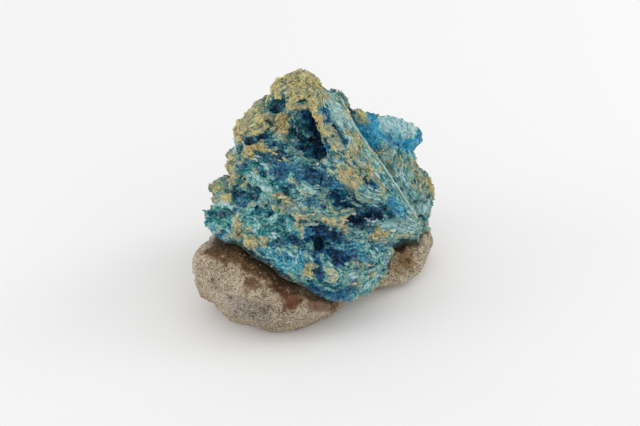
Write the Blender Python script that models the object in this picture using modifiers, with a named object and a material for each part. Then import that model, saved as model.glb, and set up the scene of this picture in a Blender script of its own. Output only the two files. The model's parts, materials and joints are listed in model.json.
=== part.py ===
"""Chalcanthite specimen: a blue-green crystal mass, crusted with tan, on the sandy rock that it grew on.

Run it with blender --background --python part.py, or from Blender's text editor.
Lengths below are in millimetres and become metres when a mesh is made. X runs to the right, Y away from
the specimen's display side and Z up. The origin is the middle of its footprint, on the surface it rests on.
"""

import itertools
import math
import random

import bmesh
import bpy
from mathutils import Euler, Matrix, Vector, noise
from mathutils.geometry import intersect_point_line

MM = 0.001

# Driving dimensions
SKIN_GRID = 1.0  # spacing of the surface grid that the joined blocks are wrapped in
FINE_GRID = 0.8  # the same once crystals have grown on the mass
PIT_GRID = 0.5  # the same for the shapes that cut the pits
SEAT_GAP = 0.45  # clearance between the rock and the crystals that sit on it
CRYSTALS = 420  # blocky crystals that stand out of the mass
CRYSTAL_LENGTH = (2.2, 5.5)  # half of it lies each way from the crystal's middle
CRYSTAL_WIDTH = (1.6, 3.2)
CRYSTAL_FLATNESS = (0.7, 1.0)  # its height as a share of its width
CRYSTAL_SHEAR = 0.35  # the lean of its end faces
CRYSTAL_TILT = 0.25  # how far its long side may stray from the grain
CRYSTAL_LAYING = 0.7  # how much of the rise of its long side is taken away, to lay it on the surface
CRYSTAL_SINK = 0.3  # how deep its middle lies, as a share of its height
CRYSTAL_SEED = 11
SLAB_EDGE = (Vector((8, 5.5, 57)), Vector((32.5, 2.5, 17.5)))
EDGE_MARGIN = 3.5  # crystals keep this far from the slab's edge
GROUND_SIZE = 120.0
ROCK_TRIANGLES = 2600
MASS_TRIANGLES = 7400
SEAT_TRIANGLES = 1800

# Relief: the size of a feature across the surface, then its height
ROCK_SWELLS = (13.0, 1.3)
ROCK_LEDGES = (7.0, 0.7)
MASS_SWELLS = (9.0, 0.7)
PIT_CRAGS = (3.0, 0.9)
LEDGE_FLATNESS = 2.5  # how much wider than high a ledge is

# The crystals on the right fan out from the foot of the slab, and those on the left from the summit
FOOT_FAN = Vector((34, 3, 15))
SUMMIT_FAN = Vector((2, 6, 66))
FAN_BORDER = -16.0  # x, at ground height, where the left fan begins to give way to the right one
BORDER_LEAN = 0.35  # how far that moves to the right for each millimetre of height
BORDER_WIDTH = 14.0
FAN_REACH = 34.0  # distance from a fan's centre at which its ridges have the width below
BLADE_WIDTH = 4.0
BLADE_STRETCH = 6.0  # length of a ridge for its width

ROCK_FINISH = ((0.42, 0.33, 0.22), 0.9)  # colour and roughness
MASS_FINISH = ((0.05, 0.28, 0.33), 0.6)

# Matrix rock: convex blocks, each given by its corners
ROCK_BLOCKS = {
    "heart": (
        (-22, -12, -1), (-22, 14, -1), (0, 24, -1), (20, 16, -1), (18, -4, -1), (-4, -18, -1),
        (-18, -10, 15), (-16, 12, 13), (0, 20, 12), (18, 12, 12), (14, -4, 11), (-4, -14, 14),
    ),
    "front_lobe": (
        (-34, -11, 18), (-33.5, -17, 18), (-29, -22, 18), (-19, -25, 20.5), (-9, -25, 18.5),
        (3, -24.5, 12.5), (-34, -10, 9), (-32.5, -19, 9), (-24, -25.5, 7.5), (-14, -28.5, 8),
        (-4, -28, 7.5), (4, -23.5, 6), (7, -18, 5), (-22, -12, 24), (-28, -8, 22.5),
        (-8, -16, 18.5), (-29, -6, 0), (-24, -18, -1), (-12, -23, -2), (-2, -20, -2), (9, -10, -1),
        (10, 0, 14), (-27, 8, 14), (-27, 8, 0),
    ),
    "right_lobe": (
        (35, 9, 13.5), (36.5, 13, 8), (34.5, 12, 3), (30, 0, 3), (25.5, -5, 2.5), (20, -8, 4),
        (13, -12, 6.5), (32, 2, 14), (24, -5, 13.5), (14, -13, 12), (33, 18, 14), (32, 20, 3),
        (22, 1, -1), (28, 12, -1), (5, -8, 0), (5, 10, 15), (20, 22, 14), (10, 20, 0),
    ),
    "back_lobe": (
        (-27, 4, 17), (-30, 6, 8), (-24, 22, 13), (-26, 20, 3), (-8, 32, 10), (-10, 32, 3),
        (12, 32, 9), (14, 31, 2), (27, 24, 11), (26, 24, 1), (-20, 10, -1), (0, 26, -2),
        (20, 12, -2), (0, 10, 18),
    ),
}

# Crystal mass: convex blocks, each given by its corners
MASS_BLOCKS = {
    "core": (
        (-10, 8, 60), (1, 8, 61), (7, 9, 57), (-18, 7, 52), (-21.5, 5, 46), (-22.5, 3, 41),
        (-22.5, 2, 35), (-20, -4, 34), (-12, -3, 46), (-4, -5, 44), (8, -4, 40), (31, 4, 19),
        (29, 2, 12), (-23, -6, 22), (6, -14, 14), (-16, 20, 46), (2, 22, 50), (12, 18, 44),
        (-21, 16, 26), (24, 20, 24), (-19, 22, 10), (23, 24, 10), (0, 28, 14),
    ),
    "left_toe": (
        (-28.5, -1, 33), (-24, -1, 35), (-30, -4, 28.5), (-30, -8, 26), (-29, -10, 24),
        (-18, -12, 33), (-14, 4, 32), (-18, 4, 16), (-28, -2, 22), (-16, -14, 20),
    ),
    "middle_mound": (
        (-9, -7, 46), (0, -8.5, 47), (5, -6, 46), (-16, -6, 43), (-4, -13.5, 42), (-12, -11.5, 40),
        (-18, -8, 38), (-14, -12.5, 34), (-5, -16, 36), (3, -13, 38), (8, -8, 41), (-8, 4, 44),
        (4, 4, 44), (-14, 4, 30), (6, -8, 28), (-10, -10, 24),
    ),
    "ledge": (
        (-8, -15, 38), (-4, -17, 37), (5, -16.5, 35), (12.5, -14.5, 28.5), (20.5, -9, 23.5),
        (32, 2, 18), (-10, -16, 34), (-2, -18.5, 34), (6, -18, 30), (14, -15, 25), (22, -9, 20),
        (31, 0, 16), (-4, -6, 34), (10, -6, 26), (26, 4, 16),
    ),
    "apron": (
        (-29, -10, 24), (-29, -11, 26), (-20.5, -16.5, 23), (-19, -15, 30), (-9.5, -22.5, 20),
        (-10.5, -21, 26), (-1, -25.5, 15), (-4, -24, 23.5), (7, -25.5, 11.5), (4, -21, 25),
        (-15, -12, 34), (-4, -17, 33), (4, -16, 31), (-14, -6, 14), (4, -16, 6), (-24, -4, 20),
    ),
    "right_foot": (
        (7, -25.5, 11.5), (14, -22.5, 11.5), (20.5, -14.5, 12.5), (21.5, -11, 14), (22, -8, 16),
        (10, -23, 18.5), (20, -12, 18), (22, -6, 20), (14, -15, 23), (5, -19, 27), (-2, -14, 8),
        (14, -10, 6), (20, 2, 12),
    ),
    "slab": (
        (-1, 1, 61.5), (5, 6, 60), (9, 7.5, 57), (33, 2.5, 17.5), (3, -3.5, 49.5), (6, -6.5, 45.5),
        (11, -9.5, 38), (17.5, -9.5, 31.5), (25.5, -4.5, 23), (33, 4.5, 16), (9.5, 9.5, 55.5),
        (0, 6, 58), (10, 0, 34), (20, 2, 22),
    ),
    "slab_foot": (
        (16, -9.5, 32.5), (18.5, -9, 31.5), (33, 1.5, 17.5), (33, 3, 16), (14, -4, 28), (25, 0, 18),
        (18, -6, 26), (24, -4.5, 22.5),
    ),
    "rear_flank": (
        (9, 12, 51), (13.5, 15, 45.5), (18, 19, 42), (29.5, 20, 29), (34, 17.5, 24), (35.5, 15, 19),
        (34, 12, 14.5), (32, 8, 13), (28, 25, 14), (14, 27, 34), (10, 20, 14), (26, 4, 14),
        (20, 8, 30), (12, 10, 42),
    ),
    "rear_cluster": (
        (14, 19, 42.5), (18, 18, 43.5), (23, 18.5, 43), (22, 22, 44.5), (26, 21, 42.5),
        (16, 24, 42), (22, 26, 40), (13.5, 20, 38), (17, 16, 38), (24, 16.5, 38.5), (27, 20, 37),
        (22, 24, 32), (16, 20, 32),
    ),
    "rear_cluster_tip": (
        (24, 19, 42.5), (28.5, 20.5, 40.5), (31.3, 21.5, 38), (31.5, 22, 35.5), (29, 21, 33),
        (25, 18, 36), (26, 25, 38), (24, 24, 41), (22, 22, 33),
    ),
    "back_wall": (
        (-14, 16, 50), (-2, 18, 54), (6, 18, 50), (14, 26, 32), (-18, 22, 32), (-20, 20, 16),
        (-6, 31, 26), (10, 30, 22), (20, 27, 14), (-12, 30, 14), (4, 32, 14), (-4, 10, 56),
        (0, 6, 20),
    ),
}

# Rounded lumps on the crystal mass: centre, half-sizes and turn in degrees about X, Y and Z
MASS_LUMPS = {
    "summit_knob": ((-4.5, 7.5, 59.2), (7.2, 6.5, 5.4), (0, 12, 0)),
    "summit_shoulder": ((4.5, 10, 54.9), (4.5, 4.5, 3.6), (0, 30, 0)),
    "right_shoulder": ((9.6, 12, 50.1), (3.3, 4, 2.8), (0, 40, 0)),
    "right_hip": ((14, 15, 45.3), (3.1, 4, 2.9), (0, 40, 0)),
    "left_brow": ((-14.6, 6.5, 52.2), (4, 6, 3.8), (0, -40, 0)),
    "left_shoulder": ((-17.2, 4.5, 46), (5, 7.5, 5.5), (0, -30, 0)),
    "left_hip": ((-19.3, 2, 39), (5, 7.5, 7), (0, 0, 0)),
    "left_bump": ((-26, -0.5, 33.2), (3.6, 3.5, 2.2), (0, -15, 0)),
    "rear_knob": ((31, 17, 23.2), (4, 5, 4), (0, 20, 0)),
    "rear_bulge": ((27, 19, 29.5), (2.6, 4, 3.5), (0, 20, 0)),
    "back_knob": ((-12, 24, 36), (7, 6, 8), (0, 0, 20)),
    "back_bulge": ((8, 27, 30), (8, 6, 7), (0, 0, -20)),
    "back_shelf": ((-2, 30, 17), (12, 4, 4), (0, 0, 0)),
}

# Pits in the crystal mass: centre, half-sizes and turn in degrees about X, Y and Z
MASS_PITS = {
    "cave": ((-3.5, -2, 50), (7, 8, 4.5), (0, 35, 0)),
    "cave_slot": ((0.2, 0, 51.5), (2.4, 9, 6.5), (0, -12, 0)),
    "cave_floor": ((0.5, -1, 46.3), (5.5, 9.5, 2.6), (0, 4, 0)),
    "upper_window": ((-9.2, 2.4, 58), (4.3, 4.5, 2.3), (0, -50, 0)),
    "summit_window": ((2, -0.6, 60.2), (1.8, 4, 3.2), (0, -20, 0)),
    "left_lens": ((-16, -2.2, 49.5), (4.8, 4, 1.6), (0, -15, 0)),
    "blue_hollow": ((6, -13, 36.5), (2.8, 8, 4.4), (0, -25, 0)),
    "slot_under_slab": ((13, -14, 28.2), (7.5, 8, 2.9), (0, 28, 0)),
    "blue_face": ((21.5, -5, 27), (5, 3.6, 2.6), (0, 52, 0)),
    "lower_pit": ((2.4, -22, 26.8), (4, 6.5, 3.8), (0, 20, 0)),
    "lower_pit_tail": ((6.5, -22.5, 22.6), (5, 4.5, 2), (0, 22, 0)),
    "foot_pit": ((1, -25.5, 20.8), (2.2, 3.6, 2.2), (0, 0, 0)),
    "mound_dimple": ((-6.5, -14.5, 40), (4, 3.5, 2), (0, 20, 0)),
    "left_hollow": ((-17, -8.5, 36.5), (4, 4, 2.2), (0, -30, 0)),
    "apron_hollow": ((-12, -20.5, 28), (4.5, 3.5, 2), (0, 25, 0)),
    "back_cave": ((-3, 31, 34), (7, 7, 5), (0, 20, 0)),
    "back_slot": ((14, 31, 21), (6, 6, 2.5), (0, -25, 0)),
    "back_nick": ((-17, 24, 25), (4, 6, 3), (0, 30, 0)),
}

# A groove that parts the slab's straight right-hand edge from the flank behind it
EDGE_GROOVE = (
    (8, 3.9, 58.2), (7.2, 13.5, 51.9), (13, 0.7, 49.9), (12.2, 10.3, 43.6), (29.2, 0.9, 23.9),
    (28.4, 10.5, 17.6), (33.6, 1.8, 18.8), (33.5, 8, 14), (13.5, 13.5, 55), (28, 12, 38.5), (38, 9, 20),
)


def clear_scene():
    for old in list(bpy.data.objects):
        bpy.data.objects.remove(old)


def new_collection(name):
    collection = bpy.data.collections.new(name)
    bpy.context.scene.collection.children.link(collection)
    return collection


def object_from(bm, name, collection):
    mesh = bpy.data.meshes.new(name)
    bm.to_mesh(mesh)
    bm.free()
    made = bpy.data.objects.new(name, mesh)
    collection.objects.link(made)
    return made


def add_block(bm, corners):
    """Adds the convex hull of the corners, which are in millimetres."""
    verts = [bm.verts.new(Vector(corner) * MM) for corner in corners]
    hull = bmesh.ops.convex_hull(bm, input=verts)
    bmesh.ops.delete(bm, geom=[v for v in hull["geom_interior"] if v.is_valid], context="VERTS")


def add_lump(bm, centre, half_sizes, turn, subdivisions):
    """Adds a faceted ball, stretched to its half-sizes and turned, at its centre, in millimetres."""
    place = Matrix.LocRotScale(
        Vector(centre) * MM,
        Euler([math.radians(angle) for angle in turn]),
        Vector(half_sizes) * MM,
    )
    bmesh.ops.create_icosphere(bm, subdivisions=subdivisions, radius=1, matrix=place)


def hide_helper(helper):
    helper.hide_render = True
    helper.display_type = "WIRE"


def applied(made):
    """Gives the object the mesh that its modifiers make, and takes them off."""
    graph = bpy.context.evaluated_depsgraph_get()
    mesh = bpy.data.meshes.new_from_object(made.evaluated_get(graph))
    made.modifiers.clear()
    made.data = mesh
    return made


def wrap(made, grid):
    """Wraps overlapping closed shapes in one closed skin."""
    skin = made.modifiers.new("skin", "REMESH")
    skin.mode = "VOXEL"
    skin.voxel_size = grid * MM
    return applied(made)


def joined_shapes(name, collection, blocks, lumps=None, subdivisions=2):
    bm = bmesh.new()
    for corners in blocks:
        add_block(bm, corners)
    for centre, half_sizes, turn in (lumps or {}).values():
        add_lump(bm, centre, half_sizes, turn, subdivisions)
    bmesh.ops.recalc_face_normals(bm, faces=bm.faces)
    return object_from(bm, name, collection)


def cut_away(made, cutter):
    cut = made.modifiers.new("cut", "BOOLEAN")
    cut.operation = "DIFFERENCE"
    cut.object = cutter
    return applied(made)


def roughen(made, height):
    """Moves each point along its normal by the height, in millimetres, that a function gives for it."""
    mesh = made.data
    normals = [vertex.normal.copy() for vertex in mesh.vertices]
    for vertex, normal in zip(mesh.vertices, normals):
        vertex.co += normal * height(vertex.co / MM) * MM


def smooth_step(share):
    share = min(1.0, max(0.0, share))
    return share * share * (3 - 2 * share)


def swells(point, feature):
    """Height of rounded lumps of a size and height."""
    size, height = feature
    return height * noise.fractal(point / size, 0.9, 2.0, 3)


def rock_relief(point):
    ledge_point = Vector((point.x, point.y, point.z * LEDGE_FLATNESS)) + Vector((35, 7, 63))
    return swells(point, ROCK_SWELLS) + swells(ledge_point, ROCK_LEDGES)


def pit_relief(point):
    return swells(point, PIT_CRAGS)


def fan_side(point):
    """0 where the crystals fan out from the summit, 1 where they fan out from the foot of the slab."""
    return smooth_step((point.x - BORDER_LEAN * point.z - FAN_BORDER) / BORDER_WIDTH)


def grain(point):
    """The direction in which the crystals at a point have grown."""
    side = fan_side(point)
    from_foot = (point - FOOT_FAN).normalized()
    from_summit = (point - SUMMIT_FAN).normalized()
    return (from_foot * side + from_summit * (1 - side)).normalized()


def blades(point, centre):
    """Height of long low ridges that fan out from a centre, from about -0.5 to 0.5."""
    away = point - centre
    lanes = away.normalized() * FAN_REACH / BLADE_WIDTH + away / (BLADE_STRETCH * BLADE_WIDTH)
    return 0.5 - noise.voronoi(lanes, distance_metric="CHEBYCHEV")[0][0]


def mass_relief(point):
    side = fan_side(point)
    ridges = side * blades(point, FOOT_FAN) + (1 - side) * blades(point, SUMMIT_FAN)
    return swells(point + Vector((27, 63, 9)), MASS_SWELLS) + ridges


def crystal_corners(centre, normal, along, size):
    """The corners of a leaning block with its long side in a direction."""
    across = along.cross(normal).normalized()
    up = across.cross(along)
    length, width, height = size
    lean = CRYSTAL_SHEAR * length
    for end, side, top in itertools.product((-1, 1), repeat=3):
        yield centre + along * (end * length + side * lean) + across * side * width + up * top * height


def beside_edge(point):
    """Whether a point is so near the slab's straight edge that a crystal there would hide the edge."""
    nearest, share = intersect_point_line(point, *SLAB_EDGE)
    return 0 < share < 1 and (point - nearest).length < EDGE_MARGIN


def grow_crystals(made):
    """Adds leaning blocks that lie along the grain, half sunk in the surface."""
    chance = random.Random(CRYSTAL_SEED)
    faces = [(polygon.center / MM, polygon.normal.copy()) for polygon in made.data.polygons]
    bm = bmesh.new()
    for spot, normal in chance.sample(faces, CRYSTALS):
        if beside_edge(spot):
            continue
        along = grain(spot) + Vector(chance.gauss(0, CRYSTAL_TILT) for _ in range(3))
        along -= normal * along.dot(normal) * CRYSTAL_LAYING
        width = chance.uniform(*CRYSTAL_WIDTH) / 2
        length = chance.uniform(*CRYSTAL_LENGTH) / 2
        height = width * chance.uniform(*CRYSTAL_FLATNESS)
        middle = spot - normal * CRYSTAL_SINK * height
        add_block(bm, crystal_corners(middle, normal, along.normalized(), (length, width, height)))
    bm.from_mesh(made.data)
    bm.to_mesh(made.data)
    bm.free()


def thin_out(made, triangles):
    """Collapses edges until about this many triangles are left."""
    mesh = made.data
    mesh.calc_loop_triangles()
    fewer = made.modifiers.new("fewer", "DECIMATE")
    fewer.ratio = min(1.0, triangles / len(mesh.loop_triangles))
    fewer.use_collapse_triangulate = True
    return applied(made)


def ground_cutter(helpers):
    """A block whose top is the surface that the specimen rests on."""
    bm = bmesh.new()
    middle = Matrix.Translation((0, 0, -GROUND_SIZE / 2 * MM))
    bmesh.ops.create_cube(bm, size=GROUND_SIZE * MM, matrix=middle)
    ground = object_from(bm, "ground_cutter", helpers)
    hide_helper(ground)
    return ground


def new_material(name, colour, roughness):
    material = bpy.data.materials.new(name)
    material.use_nodes = True
    shader = material.node_tree.nodes["Principled BSDF"]
    shader.inputs["Base Color"].default_value = (*colour, 1)
    shader.inputs["Roughness"].default_value = roughness
    shader.inputs["Metallic"].default_value = 0
    return material


def make_rock(collection, helpers):
    rock = joined_shapes("matrix_rock", collection, ROCK_BLOCKS.values())
    wrap(rock, SKIN_GRID)
    roughen(rock, rock_relief)
    wrap(rock, SKIN_GRID)
    thin_out(rock, ROCK_TRIANGLES)
    cut_away(rock, ground_cutter(helpers))
    rock.data.materials.append(new_material("sandy_rock", *ROCK_FINISH))
    return rock


def seat_cutter(rock, collection):
    """The rock grown by the seat gap, which makes room for it in the crystals."""
    cutter = bpy.data.objects.new("seat_cutter", rock.data.copy())
    collection.objects.link(cutter)
    grow = cutter.modifiers.new("grow", "DISPLACE")
    grow.strength = SEAT_GAP * MM
    grow.mid_level = 0
    applied(cutter)
    wrap(cutter, SKIN_GRID)
    thin_out(cutter, SEAT_TRIANGLES)
    hide_helper(cutter)
    return cutter


def make_mass(collection, helpers, rock):
    mass = joined_shapes("chalcanthite_mass", collection, MASS_BLOCKS.values(), MASS_LUMPS)
    pits = joined_shapes("pit_cutter", helpers, [EDGE_GROOVE], MASS_PITS, 1)
    wrap(mass, SKIN_GRID)
    wrap(pits, PIT_GRID)
    roughen(pits, pit_relief)
    wrap(pits, PIT_GRID)
    hide_helper(pits)
    roughen(mass, mass_relief)
    grow_crystals(mass)
    wrap(mass, FINE_GRID)
    cut_away(mass, pits)
    wrap(mass, FINE_GRID)
    thin_out(mass, MASS_TRIANGLES)
    cut_away(mass, seat_cutter(rock, helpers))
    mass.data.materials.append(new_material("blue_crystal_and_crust", *MASS_FINISH))
    return mass


def centre_footprint(pieces):
    """Moves the pieces so that the origin is the middle of their footprint."""
    corners = [Vector(corner) for piece in pieces for corner in piece.bound_box]
    middle = [(min(values) + max(values)) / 2 for values in zip(*corners)]
    for piece in pieces:
        piece.data.transform(Matrix.Translation((-middle[0], -middle[1], 0)))


def main():
    clear_scene()
    specimen = new_collection("chalcanthite_specimen")
    helpers = new_collection("cutters")
    rock = make_rock(specimen, helpers)
    mass = make_mass(specimen, helpers, rock)
    centre_footprint([rock, mass])


main()
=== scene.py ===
"""Dresses a chalcanthite specimen: blue crystals, tan crust and sandy rock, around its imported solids.

Lengths in the tables below are in millimetres. X runs to the right, Y away from the display side, Z up.
"""

import json
import math
import random

import bmesh
import bpy
import numpy as np
from bpy.props import FloatProperty, FloatVectorProperty, IntProperty, PointerProperty
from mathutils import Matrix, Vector, noise
from mathutils.bvhtree import BVHTree

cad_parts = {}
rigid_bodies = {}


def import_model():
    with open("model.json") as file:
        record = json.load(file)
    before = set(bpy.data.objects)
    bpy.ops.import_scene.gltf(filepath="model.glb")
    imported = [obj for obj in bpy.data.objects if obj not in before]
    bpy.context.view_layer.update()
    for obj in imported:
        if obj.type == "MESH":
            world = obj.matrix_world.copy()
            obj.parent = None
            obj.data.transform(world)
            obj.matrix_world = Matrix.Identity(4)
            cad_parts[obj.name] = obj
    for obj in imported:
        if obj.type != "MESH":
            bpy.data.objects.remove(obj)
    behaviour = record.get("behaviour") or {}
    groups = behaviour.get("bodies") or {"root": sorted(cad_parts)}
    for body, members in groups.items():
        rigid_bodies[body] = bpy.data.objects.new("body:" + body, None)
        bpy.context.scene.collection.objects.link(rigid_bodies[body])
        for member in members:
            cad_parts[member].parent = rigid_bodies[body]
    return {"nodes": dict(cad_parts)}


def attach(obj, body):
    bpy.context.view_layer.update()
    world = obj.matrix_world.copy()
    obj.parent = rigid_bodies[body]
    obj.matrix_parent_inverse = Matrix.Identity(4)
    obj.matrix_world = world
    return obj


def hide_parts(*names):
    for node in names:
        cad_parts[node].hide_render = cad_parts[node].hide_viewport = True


bl_info = {
    "name": "Chalcanthite Specimen",
    "version": (1, 0, 0),
    "blender": (4, 5, 0),
    "location": "3D View > Sidebar > Specimen",
    "description": "Dresses a blue crystal specimen on its sandy matrix rock, piece by piece",
    "category": "Add Mesh",
}

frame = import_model()

MM = 0.001
BODY = "root"
MASS_NODE = "chalcanthite_mass"
ROCK_NODE = "matrix_rock"

# The footprint's middle, seen from the point that the tables are measured from
TABLE_ORIGIN = Vector((0.48, 2.70, 0))

# A skin's relief begins over this gap to the other solid, and the rock's over this height above the floor.
# The shade near the contact ends at the first gap and is full at the second one.
FREE_GAP = (0.8, 1.3)
FREE_HEIGHT = (0.2, 1.2)
CRYSTAL_CONTACT = (3.0, 0.8)
ROCK_CONTACT = (3.0, 0.5)

# Rounds of smoothing that show up the small and the large hollows of the crystals, and those of the rock
SMALL_HOLLOWS = 40
LARGE_HOLLOWS = 400
ROCK_HOLLOWS = 30

# The depths between which hollows begin and are full, and the same for what stands proud
SMALL_DEPTH = (0.0, 0.7)
LARGE_DEPTH = (0.4, 2.8)
ROCK_DEPTH = (0.0, 0.5)
PROUD_DEPTH = (-0.05, -0.6)

# Centres that the long crystals fan out from, at the summit, at the slab's foot and beyond the rim,
# and how long the crystals of each fan are for their width
FANS = ((2, 6, 66), (34, 3, 15), (30, -40, 8))
FAN_STRETCH = (1.4, 3.4, 2.6)
FAN_REACH = 34.0
FAN_SHIFT = 31.7

# Where the summit's fan and the rim's fan take over from the slab's: from none of them to all of them
SUMMIT_HIGH = (46, 54)
RIM_HIGH = (29, 24)
RIM_RIGHT = (14, 4)
RIM_BACK = (0, -8)

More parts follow.
